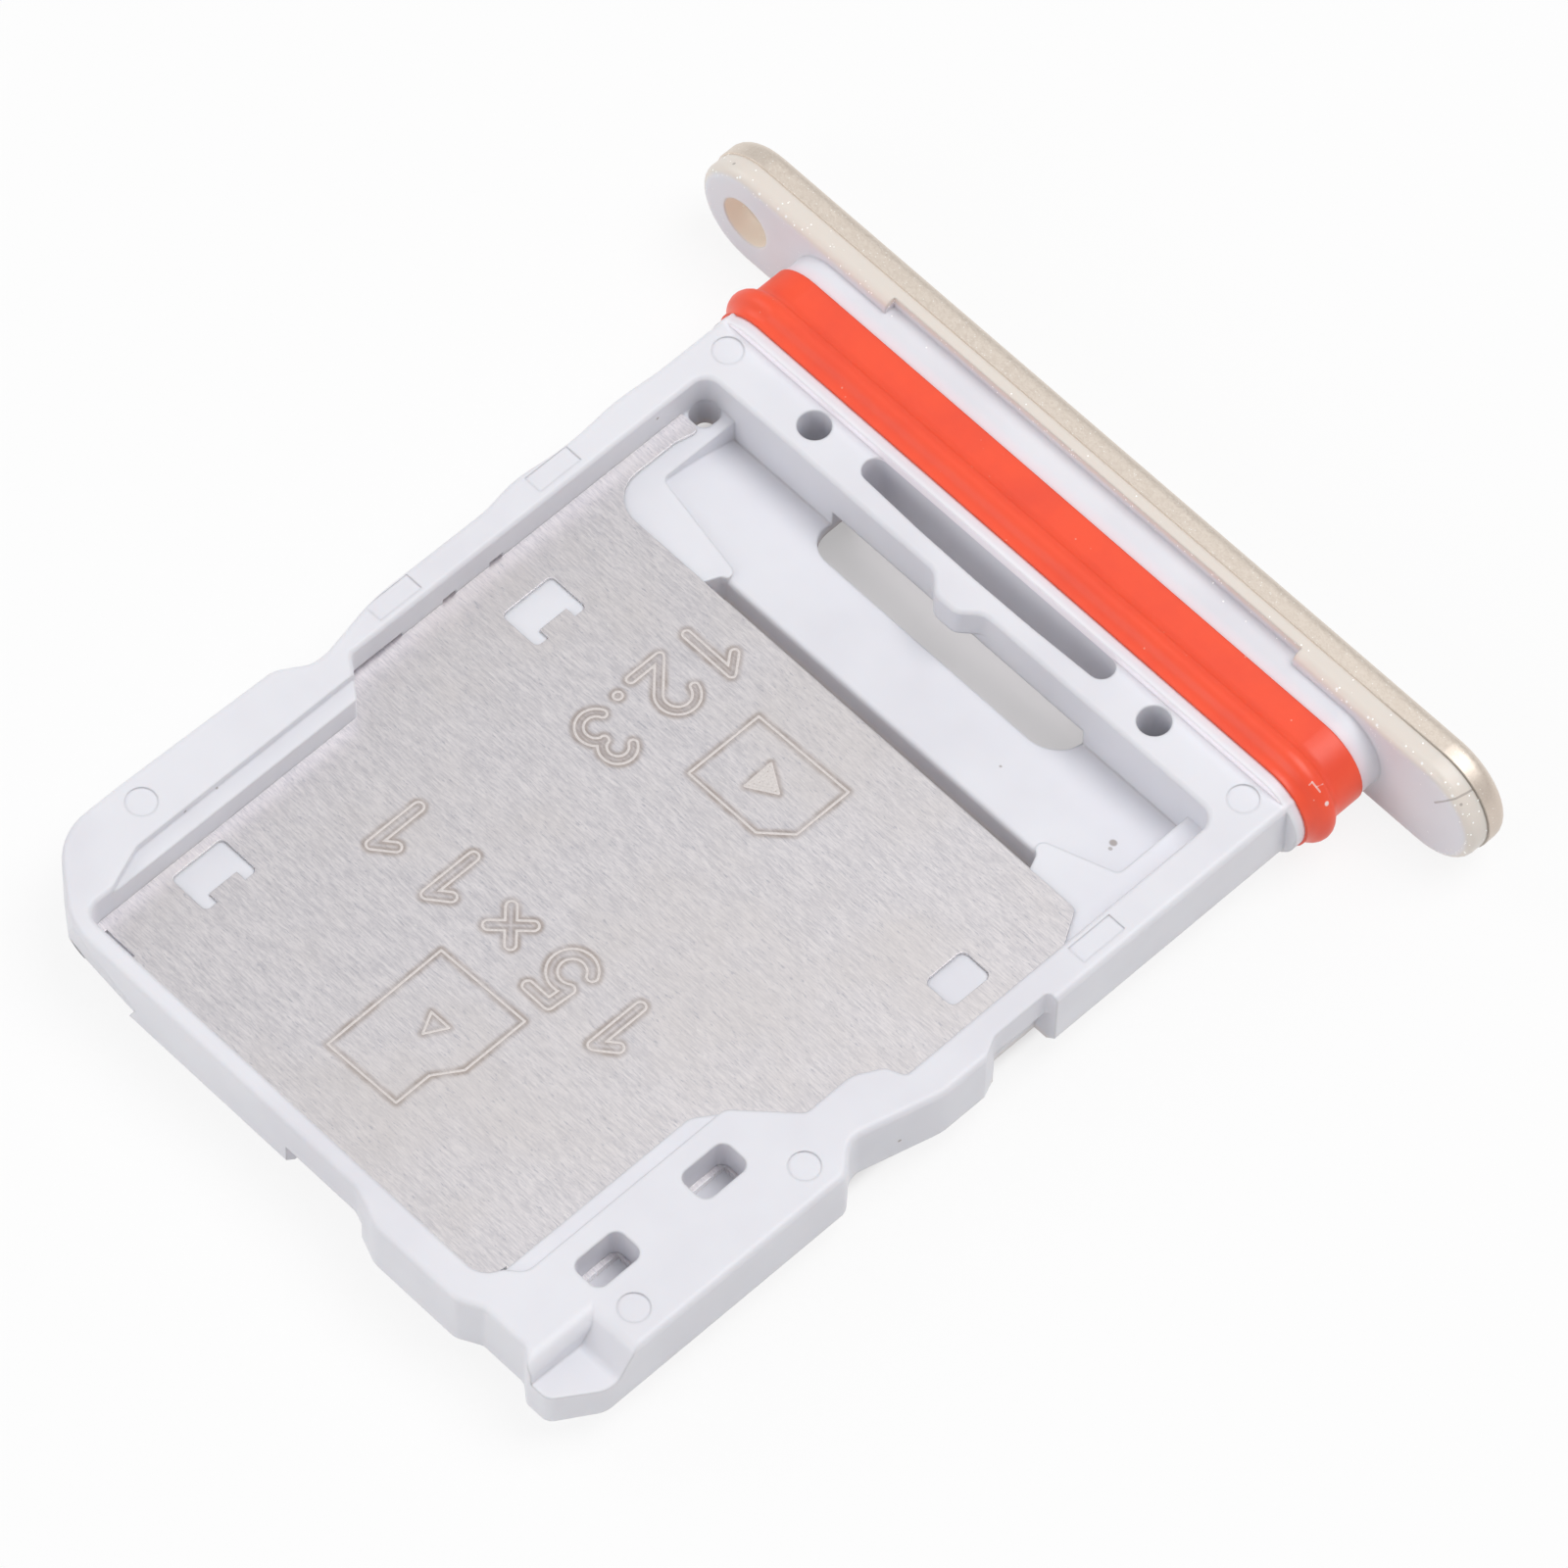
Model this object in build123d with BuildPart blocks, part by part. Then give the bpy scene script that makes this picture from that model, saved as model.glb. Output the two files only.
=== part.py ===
"""Card tray for a phone: moulded carrier, steel card plate, silicone seal and painted end cap.

Millimetres. +X runs along the cap from the eject hole to the far end, +Y is the way the tray is pulled
out, +Z is up. The origin is the middle of the footprint, level with the underside of the cap.
"""
import os

from build123d import *

# Cards that the seats are cut for
nano_width = 12.3
nano_length = 8.8
nano_corner = 1.65
memory_length = 15.0
memory_width = 11.0
memory_nose = 9.7
card_play = 0.13

# Carrier: thickness, walls and edges
tray_thick = 1.46
seat_depth = 0.70
bar_width = 0.96
left_wall = 0.62
right_wall = 0.72
tip_wall = 0.64
tip_thin = 0.35
nose_inset = 0.67
pocket_shift = 0.09
top_edge = 0.12
under_edge = 0.2
pocket_edge = 0.06

# Neck, seal and lip, measured out from the carrier
lip_proud = 0.18
lip_overhang = 0.245
lip_depth = 0.23
neck_depth = 0.47
groove_depth = 0.36
seal_width = 1.34
band_proud = 0.04
bead_proud = 0.18
bead_start = 0.04
bead_width = 0.76
ring_shift = 0.07

# End cap and the shoulder behind it, measured out from the neck
cap_proud = 0.30
cap_overhang = 2.31
cap_depth = 0.49
cap_edge = 0.25
shoulder_depth = 0.45
shoulder_inset = 0.03
shoulder_edge = 0.2
shoulder_step_length = 9.9
shoulder_step_depth = 0.22
eject_diameter = 1.06
eject_from_end = 1.18

# Steel plate
plate_thick = 0.15
plate_proud = 0.06
plate_grip = 0.13
tongue_width = 0.34
tongue_from_wall = 0.58
tongue_root = 0.8
web_width = 0.89
web_length = 1.19
web_small_width = 0.70
web_small_length = 0.93
web_small_gap = 0.385
web_near_setback = 2.4
web_far_setback = 2.35
web_corner = 0.11
web_small_corner = 0.14
tab_reach = 0.22
tab_width = 0.62
plate_tip_cut = (1.0, 0.75)
plate_right_cut = 1.3
plate_corners = (0.3, 0.3, 0.4, 0.2, 0.15)
tongue_corners = (0.25, 0.12, 0.12)
tongue_flare = (0.5, 0.12)
tip_slot_pitch = 1.45
tip_slot_start = 0.55
tip_slot_widths = (0.70, 0.70, 0.67, 0.53)
tip_slot_lengths = (0.43, 0.20, 0.20, 0.33)

# Recessed floor, the gap before it and the spring beam behind it
floor_front_drop = 0.14
floor_back_drop = 0.62
floor_crown = 0.1
floor_nose = 0.1
ledge_left = 0.72
ledge_right = 0.64
ledge_corner = 0.15
ledge_reach = 0.54
ledge_left_rise = 0.44
ledge_right_rise = 0.52
ledge_point = 0.34
gap_width = 0.36
gap_corner = 0.15
gap_from_left = 2.72
gap_from_right = 1.74
opening_half = 3.06
opening_depth = 0.72
opening_corner = 0.6
beam_height = 0.94
beam_slot_half = 3.0
beam_slot_width = 0.52
beam_slot_bow = 0.07
bump_height = 0.65
bump_reach = 0.34
bump_top = 0.5
bump_foot = 1.24
bump_round = 0.3
bump_root = 0.1
hole_diameter = 0.62
hole_half = 4.14
hole_from_lip = 0.38

# Rebate beside the memory card's nose, and the windows in the right wall
rebate_depth = 0.16
rebate_width = 0.34
rebate_corner = 0.3
rebate_left_ends = (0.6, 1.5)
rebate_right_ends = (0.3, 0.6)
window_width = 0.68
window_length = 1.06
window_corner = 0.2
window_shift = 0.05
window_setbacks = (1.5, 3.95)
window_rim = 0.1
window_sill = 0.2

# Steps in the pocket's sides, out from the nano card's inner end
left_step = (0.05, 0.56)
nose_step = (-1.56, -1.0, -0.12)
nose_step_out = 0.38
wide_step = (0.93, 1.45, 1.6)
wide_step_out = 0.28
pocket_corners = (0.3, 0.1, 0.1, 0.3, 0.45, 0.3, 0.3, 0.15, 0.6, 0.3, 0.1, 0.35)
seat_corners = (0.3, 0.1, 0.1)

# Shaped outside: waists, tip bulge, low corner, catch notch and undercut
side_waves = ((0.6, 0.0), (1.52, 0.07), (2.5, -0.01), (3.0, -0.01), (3.95, 0.09), (4.7, -0.04))
side_wave_radii = (4, 4, 4, 4, 2.5, 2.5)
waist_setback = 8.8
left_waist_depth = 0.28
left_waist_lead = 1.45
left_lead_in = 0.02
left_waist_flat = 0.18
left_waist_foot = 0.75
left_bow_start = 0.08
left_bow = 0.18
left_bow_run = 4.2
waist_radii = (4, 0.6, 0.5, 0.5)
tip_corner = (1.3, 0.74)
tip_corner_radii = (4, 1.2, 1.4)
right_waist_depth = 0.46
right_waist_lead = 1.65
right_waist_foot = 0.6
right_waist_shift = 0.08
right_waist_radii = (0.3, 0.4, 1.2)
bulge_from_right = 2.3
bulge_length = 3.15
bulge_run_in = 0.75
bulge_run_out = 0.45
bulge_radii = (0.4, 0.5, 0.4, 0.25)
dip_depth = 0.05
block_width = 1.33
block_run_in = 0.3
block_corner = (0.53, 0.2)
block_radii = (0.22, 0.22, 0.25, 0.5)
low_corner_width = 0.92
low_corner_drop = 0.56
low_corner_rise = 0.07
low_corner_round = 0.28
ramp_length = 0.4
ramp_setback = 0.9
catch_setback = 4.5
catch_length = 1.25
catch_depth = 0.22
catch_run_out = 0.6
catch_corners = (0.3, 0.1)
catch_under_depth = 0.48
catch_under_drop = 0.62
undercut_length = 1.95
undercut_depth = 0.25
undercut_drop = 0.83
undercut_x = 0.75
lead_depth = 0.3
lead_height = 1.2
lead_top = 0.06
lead_half_run = 1.2
lead_angle = 26.0
clear = 0.1

# Marks that the mould leaves, slits at the left wall's foot and the hole in the pocket's corner
mark_depth = 0.03
pin_mark_diameter = 0.57
insert_mark_width = 0.38
insert_mark_length = 0.97
pin_back_insets = (0.55, 0.66)
pin_right_inset = 0.61
pin_right_setbacks = (1.0, 1.41)
pin_left_place = (0.35, 2.16)
insert_left_insets = (0.25, 0.28)
insert_left_setbacks = (3.3, 7.08)
insert_right_place = (0.41, 3.17)
slit_depth = 0.1
slit_setbacks = (5.0, 6.1, 7.86)
slit_lengths = (0.3, 0.3, 1.32)
drain_width = 0.5
drain_length = 0.54
drain_corner = 0.2

# Heights
neck_radius = tray_thick / 2 + lip_proud
cap_height = 2 * (neck_radius + cap_proud)
z_mid = cap_height / 2
z_top = z_mid + tray_thick / 2
z_bottom = z_mid - tray_thick / 2
z_steel = z_top - seat_depth
z_plate = z_steel - plate_thick
z_fill = z_steel - plate_proud
z_floor = z_steel - floor_front_drop
z_floor_back = z_steel - floor_back_drop

# Stations along Y, from the cap's front back to the tip
pocket_length = memory_length + card_play
total_length = (
    cap_depth + shoulder_depth + neck_depth + seal_width + lip_depth + bar_width + pocket_length + tip_wall
)
y_front = total_length / 2
y_seam = y_front - cap_depth
y_back = y_seam - shoulder_depth
y_neck = y_back - neck_depth
y_groove = y_neck - seal_width
y_bead = y_groove + bead_start + bead_width / 2
y_lip = y_groove - lip_depth
y_wall = y_lip - bar_width
y_tip = y_wall - pocket_length
y_end = y_tip - tip_wall
y_nano = y_wall - nano_length - card_play
y_plate = y_tip + nano_width + card_play
y_ledge = y_plate + ledge_reach
y_floor = y_plate + gap_width
y_waist = y_wall - waist_setback
y_catch = y_wall - catch_setback
slot_near = y_lip - beam_slot_width

# Stations along X, from the pocket's middle line
pocket_half = (nano_width + card_play) / 2
seat_half = (nano_length + card_play) / 2
x_left = -pocket_half - left_wall
x_right = pocket_half + right_wall
x_nose = nose_inset - pocket_half
x_nose_far = x_nose + memory_nose + card_play
x_wide_far = x_nose + memory_width + card_play
x_bulge = x_right - bulge_from_right
x_window = (x_nose_far + pocket_half + plate_grip) / 2 + window_shift
slot_run = beam_slot_half - beam_slot_width / 2
x_low = pocket_shift + x_right - low_corner_width
x_low_flare = x_low - low_corner_round - clear
x_outside = pocket_shift + x_right + clear

# The neck's straight half, and the radii of the seal
ring_half = (x_right - x_left) / 2 + lip_overhang - neck_radius
ring_x = pocket_shift + ring_shift
seal_core = neck_radius - groove_depth
seal_band = neck_radius + band_proud
seal_bead = seal_band + bead_proud
cap_length = 2 * (ring_half + neck_radius + cap_overhang)
x_eject = eject_from_end - cap_length / 2


def across(y, x=0.0):
    """Plane across the tray at station y, looking out along +Y."""
    return Plane(origin=(x, y, z_mid), x_dir=(1, 0, 0), z_dir=(0, 1, 0))


def level(z):
    """Level plane at height z, with its origin on the card pocket's middle line."""
    return Plane(origin=(pocket_shift, 0, z))


def in_pocket(edge):
    """Whether an edge lies within the card pocket's length and width."""
    middle = edge.center()
    return abs(middle.X - pocket_shift) < pocket_half + 0.01 and y_tip - 0.01 < middle.Y < y_wall + 0.01


# Painted front of the cap
with BuildPart() as end_cap:
    with BuildSketch(across(y_seam)):
        SlotOverall(cap_length, cap_height)
    extrude(amount=cap_depth)
    fillet(end_cap.edges().group_by(Axis.Y)[-1], radius=cap_edge)
    with BuildSketch(across(y_seam, x_eject)):
        Circle(eject_diameter / 2)
    extrude(amount=cap_depth, mode=Mode.SUBTRACT)

# Silicone ring: a flat band with a rounded bead on the tray side, swept round the groove
with BuildPart() as seal_ring:
    with BuildLine(across(y_groove, ring_x)):
        Line((0, -seal_core), (ring_half, -seal_core))
        ThreePointArc((ring_half, -seal_core), (ring_half + seal_core, 0), (ring_half, seal_core))
        Line((ring_half, seal_core), (-ring_half, seal_core))
        ThreePointArc((-ring_half, seal_core), (-ring_half - seal_core, 0), (-ring_half, -seal_core))
        Line((-ring_half, -seal_core), (0, -seal_core))
    with BuildSketch(Plane.YZ.offset(ring_x)):
        with BuildLine():
            Polyline(
                (y_bead + bead_width / 2, z_mid + seal_band),
                (y_neck, z_mid + seal_band),
                (y_neck, z_mid + seal_core),
                (y_groove, z_mid + seal_core),
                (y_groove, z_mid + seal_band),
                (y_bead - bead_width / 2, z_mid + seal_band),
            )
            for side in (-1, 1):
                foot = (y_bead + side * bead_width / 2, z_mid + seal_band)
                flank = (y_bead + side * bead_width / 4, z_mid + (seal_band + seal_bead) / 2)
                TangentArc(foot, flank, tangent=(-side, 0))
                TangentArc((y_bead, z_mid + seal_bead), flank, tangent=(side, 0))
        make_face()
    sweep()

# Steel plate: lies on the carrier's webs, with its rim held in the walls
plate_left = -pocket_half - plate_grip
plate_right = pocket_half + plate_grip
plate_end = y_tip - plate_grip
tongue_right = tongue_width - pocket_half
tongue_end = y_wall - tongue_from_wall
tongue_root_fit = min(tongue_root, (tongue_end - y_plate) / 3)
web_near = y_plate - web_near_setback
web_far = y_tip + web_far_setback
x_web = -seat_half - web_width / 2
x_web_small = seat_half + web_small_gap + web_small_width / 2
with BuildPart() as steel_plate:
    with BuildSketch(level(z_plate)):
        with BuildLine():
            FilletPolyline(
                (plate_left, plate_end + plate_tip_cut[1]),
                (plate_left + plate_tip_cut[0], plate_end),
                (plate_right, plate_end),
                (plate_right, y_plate - plate_right_cut),
                (pocket_half - ledge_right, y_plate),
                (tongue_right, y_plate),
                (tongue_right, tongue_end - tongue_flare[0]),
                (tongue_right + tongue_flare[1], tongue_end),
                (plate_left, tongue_end),
                radius=[*plate_corners, tongue_root_fit, *tongue_corners],
                close=True,
            )
        make_face()
        for y_web in (web_near, web_far):
            with Locations((x_web, y_web)):
                RectangleRounded(web_width, web_length, web_corner, mode=Mode.SUBTRACT)
            with Locations((x_web + (web_width - tab_reach) / 2, y_web)):
                Rectangle(tab_reach, tab_width)
        with Locations((x_web_small, web_near)):
            RectangleRounded(web_small_width, web_small_length, web_small_corner, mode=Mode.SUBTRACT)
        for setback in window_setbacks:
            with Locations((x_window, y_nano - setback - (window_length - window_sill) / 2)):
                Rectangle(
                    window_width - 2 * window_rim,
                    window_length - window_sill - window_rim,
                    mode=Mode.SUBTRACT,
                )
        for index, (width, length) in enumerate(zip(tip_slot_widths, tip_slot_lengths)):
            with Locations((x_nose + tip_slot_start + index * tip_slot_pitch, plate_end + length / 2)):
                Rectangle(width, length, mode=Mode.SUBTRACT)
    extrude(amount=plate_thick)

# Space over the recessed floor: its front edge is rounded, and it falls away in an arc to the cap wall
floor_middle = ((y_floor + floor_nose + y_wall) / 2, (z_floor + z_floor_back) / 2 + floor_crown)
with BuildPart() as floor_space:
    with BuildSketch(level(z_floor_back)):
        with BuildLine():
            FilletPolyline(
                (ledge_left - pocket_half, y_wall),
                (ledge_left - pocket_half, y_ledge + ledge_left_rise),
                (gap_from_left - pocket_half + ledge_point, y_ledge),
                (gap_from_left - pocket_half, y_plate),
                (pocket_half - gap_from_right, y_plate),
                (pocket_half - gap_from_right - ledge_point, y_ledge),
                (pocket_half - ledge_right, y_ledge + ledge_right_rise),
                (pocket_half - ledge_right, y_wall),
                radius=[0, ledge_corner, ledge_corner, 0, 0, ledge_corner, ledge_corner, 0],
                close=True,
            )
        make_face()
    extrude(amount=z_fill - z_floor_back)
    with BuildSketch(Plane.YZ.offset(-pocket_half)):
        with BuildLine():
            Polyline(
                (y_wall, z_floor_back),
                (y_wall, z_fill),
                (y_plate, z_fill),
                (y_plate, z_floor - floor_nose),
                (y_floor, z_floor - floor_nose),
            )
            RadiusArc((y_floor, z_floor - floor_nose), (y_floor + floor_nose, z_floor), floor_nose)
            ThreePointArc((y_floor + floor_nose, z_floor), floor_middle, (y_wall, z_floor_back))
        make_face()
    extrude(amount=2 * pocket_half + pocket_shift, mode=Mode.INTERSECT)

# Space over the low corner at the tip: a ramp leads down to it, and its top edges are rounded
y_ramp = y_tip + ramp_setback
y_ramp_flare = y_ramp + low_corner_round
z_low = z_top - low_corner_drop
with BuildPart() as corner_space:
    with BuildSketch(Plane.YZ.offset(x_low_flare)):
        with BuildLine():
            FilletPolyline(
                (y_ramp_flare, z_top + clear),
                (y_ramp_flare, z_top),
                (y_ramp, z_top),
                (y_ramp - ramp_length, z_low),
                (y_end - clear, z_low + low_corner_rise),
                (y_end - clear, z_top + clear),
                radius=[0, 0, low_corner_round, low_corner_round / 2, 0, 0],
                close=True,
            )
        make_face()
    extrude(amount=x_outside - x_low_flare)
    with BuildSketch(Plane.XZ.offset(clear - y_end)):
        with BuildLine():
            FilletPolyline(
                (x_outside, z_top + clear),
                (x_low_flare, z_top + clear),
                (x_low_flare, z_top),
                (x_low, z_top),
                (x_low, z_low),
                (x_outside, z_low),
                radius=[0, 0, 0, low_corner_round, 0, 0],
                close=True,
            )
        make_face()
    extrude(amount=y_end - y_ramp_flare - 2 * clear, mode=Mode.INTERSECT)

# Carrier moulded round the plate
with BuildPart() as tray_frame:
    # Slab: bowed left side, rounded tip corner, bulge and block at the tip, and a waist on each side
    with BuildSketch(level(z_bottom)):
        with BuildLine():
            FilletPolyline(
                (x_left, y_groove),
                *((x_left - out, y_wall - setback) for setback, out in side_waves),
                (x_left + left_lead_in, y_waist + left_waist_lead),
                (x_left + left_waist_depth, y_waist + left_waist_flat),
                (x_left + left_waist_depth, y_waist - left_waist_flat),
                (x_left - left_bow_start, y_waist - left_waist_foot),
                (x_left - left_bow, y_waist - left_bow_run),
                (x_left - left_bow, y_tip + tip_corner[1]),
                (x_left + tip_corner[0], y_tip - tip_thin),
                (x_bulge - bulge_length, y_tip - tip_thin),
                (x_bulge - bulge_length + bulge_run_in, y_end),
                (x_bulge - bulge_run_out, y_end),
                (x_bulge, y_tip - tip_thin - dip_depth),
                (x_right - block_width, y_tip - tip_thin - dip_depth),
                (x_right - block_width + block_run_in, y_end),
                (x_right - block_corner[0], y_end),
                (x_right, y_tip + block_corner[1]),
                (x_right, y_waist - right_waist_foot),
                (x_right - right_waist_depth, y_waist - right_waist_shift),
                (x_right, y_waist + right_waist_lead),
                (x_right, y_groove),
                radius=[
                    0, *side_wave_radii, *waist_radii, *tip_corner_radii,
                    *bulge_radii, *block_radii, *right_waist_radii, 0,
                ],
                close=True,
            )
        make_face()
    extrude(amount=tray_thick)
    rims = tray_frame.edges().group_by(Axis.Z)
    fillet(rims[-1].filter_by(lambda edge: edge.center().Y < y_groove - 0.01), radius=top_edge)
    rims = tray_frame.edges().group_by(Axis.Z)
    chamfer(rims[0].filter_by(lambda edge: edge.center().Y < y_groove - 0.01), length=under_edge)

    # Lead-in under the rounded tip corner
    lead_place = (x_left + pocket_shift + tip_corner[0], y_tip - tip_thin, z_bottom)
    lead_plane = Plane(origin=lead_place, x_dir=(0, -1, 0), z_dir=(1, 0, 0)).rotated((0, lead_angle, 0))
    with BuildSketch(lead_plane):
        with BuildLine():
            Polyline(
                (-lead_depth, 0),
                (2 * clear, 0),
                (2 * clear, -lead_height),
                (-lead_top, -lead_height),
                close=True,
            )
        make_face()
    extrude(amount=lead_half_run, both=True, mode=Mode.SUBTRACT)

    # Lip, groove core, neck and shoulder
    for y_start, depth, radius in (
        (y_lip, lip_depth, neck_radius),
        (y_groove, seal_width, seal_core),
        (y_neck, neck_depth, neck_radius),
    ):
        with BuildSketch(across(y_start, ring_x)):
            SlotOverall(2 * (ring_half + radius), 2 * radius)
        extrude(amount=depth)
    with BuildSketch(across(y_back)):
        SlotOverall(cap_length - 2 * shoulder_inset, cap_height - 2 * shoulder_inset)
    extrude(amount=shoulder_depth)
    rims = tray_frame.edges().filter_by(lambda edge: abs(edge.center().Y - y_back) < 0.001)
    fillet(rims.filter_by(lambda edge: abs(edge.center().Z - z_mid) > neck_radius + clear), radius=shoulder_edge)

    # Card pocket: nano card at the cap end, memory card over its full length
    with BuildSketch(level(z_fill)):
        with BuildLine():
            FilletPolyline(
                (-pocket_half, y_wall),
                (-pocket_half, y_nano + left_step[1]),
                (x_nose, y_nano + left_step[0]),
                (x_nose, y_tip),
                (x_nose_far, y_tip),
                (x_nose_far, y_nano + nose_step[0]),
                (x_nose_far + nose_step_out, y_nano + nose_step[1]),
                (x_wide_far, y_nano + nose_step[2]),
                (x_wide_far, y_nano + wide_step[0]),
                (x_wide_far + wide_step_out, y_nano + wide_step[1]),
                (pocket_half, y_nano + wide_step[2]),
                (pocket_half, y_wall),
                radius=list(pocket_corners),
                close=True,
            )
        make_face()
    extrude(amount=z_top - z_fill, mode=Mode.SUBTRACT)

    # Rounded bump in the middle of the pocket's back wall, which the slots behind make into a spring beam
    with BuildSketch(level(z_top - bump_height)):
        with BuildLine():
            FilletPolyline(
                (-bump_foot / 2 - bump_round, y_wall + bump_root),
                (-bump_foot / 2 - bump_round, y_wall),
                (-bump_foot / 2, y_wall),
                (-bump_top / 2, y_wall - bump_reach),
                (bump_top / 2, y_wall - bump_reach),
                (bump_foot / 2, y_wall),
                (bump_foot / 2 + bump_round, y_wall),
                (bump_foot / 2 + bump_round, y_wall + bump_root),
                radius=[0, 0, bump_round, bump_round, bump_round, bump_round, 0, 0],
                close=True,
            )
        make_face()
    extrude(amount=bump_height)
    rims = tray_frame.edges().filter_by(lambda edge: abs(edge.center().Z - z_top) < 0.001)
    chamfer(rims.filter_by(in_pocket), length=pocket_edge)

    # Shallow rebate along both sides of the memory card's nose
    with BuildSketch(level(z_top - rebate_depth)):
        with BuildLine():
            FilletPolyline(
                (x_nose, y_tip + rebate_left_ends[0]),
                (x_nose - rebate_width, y_tip + rebate_left_ends[1]),
                (x_nose - rebate_width, y_nano + left_step[1]),
                (x_nose, y_nano + left_step[1]),
                radius=[0, rebate_corner, 0, 0],
                close=True,
            )
        make_face()
        with BuildLine():
            FilletPolyline(
                (x_nose_far, y_tip + rebate_right_ends[0]),
                (x_nose_far + rebate_width, y_tip + rebate_right_ends[1]),
                (x_nose_far + rebate_width, y_nano + nose_step[1]),
                (x_nose_far, y_nano + nose_step[0]),
                radius=[0, rebate_corner, 0, 0],
                close=True,
            )
        make_face()
    extrude(amount=rebate_depth, mode=Mode.SUBTRACT)

    # Recess between the plate and the cap wall, and the gap right through along the plate's front edge
    add(floor_space.part, mode=Mode.SUBTRACT)
    with BuildSketch(level(0)):
        with BuildLine():
            FilletPolyline(
                (gap_from_left - pocket_half, y_plate),
                (pocket_half - gap_from_right, y_plate),
                (pocket_half - gap_from_right - gap_corner, y_floor),
                (gap_from_left - pocket_half + gap_corner, y_floor),
                radius=[0, 0, gap_corner, gap_corner],
                close=True,
            )
        make_face()
    extrude(amount=z_top, mode=Mode.SUBTRACT)

    # Opening in the floor that carries on under the spring beam
    with BuildSketch(level(0)):
        with BuildLine():
            FilletPolyline(
                (-opening_half, slot_near),
                (-opening_half, y_wall - opening_depth),
                (opening_half, y_wall - opening_depth),
                (opening_half, slot_near),
                radius=[0, opening_corner, opening_corner, 0],
                close=True,
            )
        make_face()
    extrude(amount=z_top - beam_height, mode=Mode.SUBTRACT)

    # Slot behind the spring beam, bowed on the beam's side, and the round holes beside it
    with BuildSketch(level(0)):
        with BuildLine():
            Line((-slot_run, y_lip), (slot_run, y_lip))
            ThreePointArc((slot_run, y_lip), (beam_slot_half, y_lip - beam_slot_width / 2), (slot_run, slot_near))
            ThreePointArc((slot_run, slot_near), (0, slot_near - beam_slot_bow), (-slot_run, slot_near))
            ThreePointArc((-slot_run, slot_near), (-beam_slot_half, y_lip - beam_slot_width / 2), (-slot_run, y_lip))
        make_face()
        with Locations((-hole_half, y_lip - hole_from_lip), (hole_half, y_lip - hole_from_lip)):
            Circle(hole_diameter / 2)
    extrude(amount=z_top, mode=Mode.SUBTRACT)

    # Windows through the right wall down to the plate
    with BuildSketch(level(z_plate)):
        for setback in window_setbacks:
            with Locations((x_window, y_nano - setback - window_length / 2)):
                RectangleRounded(window_width, window_length, window_corner)
    extrude(amount=tray_thick, mode=Mode.SUBTRACT)

    # Seat for the lower nano card, turned lengthwise under the plate, with its cut corner
    with BuildSketch(level(0)):
        with BuildLine():
            FilletPolyline(
                (-seat_half, y_plate),
                (-seat_half, y_tip),
                (seat_half - nano_corner, y_tip),
                (seat_half, y_tip + nano_corner),
                (seat_half, y_plate),
                radius=[0, *seat_corners, 0],
                close=True,
            )
        make_face()
    extrude(amount=z_plate, mode=Mode.SUBTRACT)

    # Low corner at the tip
    add(corner_space.part, mode=Mode.SUBTRACT)

    # Catch notch in the right side, deeper below
    with BuildSketch(level(0)):
        with BuildLine():
            FilletPolyline(
                (x_right + clear, y_catch - catch_length - catch_run_out),
                (x_right - catch_depth, y_catch - catch_length),
                (x_right - catch_depth, y_catch),
                (x_right + clear, y_catch),
                radius=[0, *catch_corners, 0],
                close=True,
            )
        make_face()
    extrude(amount=z_top, mode=Mode.SUBTRACT)
    with BuildSketch(level(0)):
        with Locations((x_right, y_catch - catch_length / 2)):
            Rectangle(2 * catch_under_depth, catch_length)
    extrude(amount=z_top - catch_under_drop, mode=Mode.SUBTRACT)

    # Undercut in the tip wall for pushing out the lower card
    with BuildSketch(level(0)):
        with Locations((undercut_x, y_tip - tip_thin)):
            Rectangle(undercut_length, 2 * undercut_depth)
    extrude(amount=z_top - undercut_drop, mode=Mode.SUBTRACT)

    # Step along the top of the shoulder's back edge
    with BuildSketch(across(y_back, ring_x)):
        with Locations((0, -neck_radius - cap_proud)):
            Rectangle(shoulder_step_length, 2 * cap_proud)
    extrude(amount=shoulder_step_depth, mode=Mode.SUBTRACT)

    # Slits at the foot of the left wall and the hole in the pocket's corner
    with BuildSketch(level(z_steel)):
        for setback, length in zip(slit_setbacks, slit_lengths):
            with Locations((-pocket_half, y_wall - setback)):
                Rectangle(2 * slit_depth, length)
    extrude(amount=slit_depth, mode=Mode.SUBTRACT)
    with BuildSketch(level(0)):
        with Locations((drain_width / 2 - pocket_half, y_wall - drain_length / 2)):
            RectangleRounded(drain_width, drain_length, drain_corner)
    extrude(amount=z_steel, mode=Mode.SUBTRACT)

    # Ejector-pin and insert marks
    with BuildSketch(level(z_top - mark_depth)):
        with Locations(
            (x_left + pin_back_insets[0], y_lip - hole_from_lip),
            (x_right - pin_back_insets[1], y_lip - hole_from_lip),
            (x_right - pin_right_inset, y_waist - pin_right_setbacks[0]),
            (x_right - pin_right_inset, y_tip + pin_right_setbacks[1]),
            (x_left + pin_left_place[0], y_tip + pin_left_place[1]),
        ):
            Circle(pin_mark_diameter / 2)
        with Locations(
            (x_left + insert_left_insets[0], y_wall - insert_left_setbacks[0]),
            (x_left + insert_left_insets[1], y_wall - insert_left_setbacks[1]),
            (x_right - insert_right_place[0], y_wall - insert_right_place[1]),
        ):
            Rectangle(insert_mark_width, insert_mark_length)
    extrude(amount=mark_depth, mode=Mode.SUBTRACT)

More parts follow.
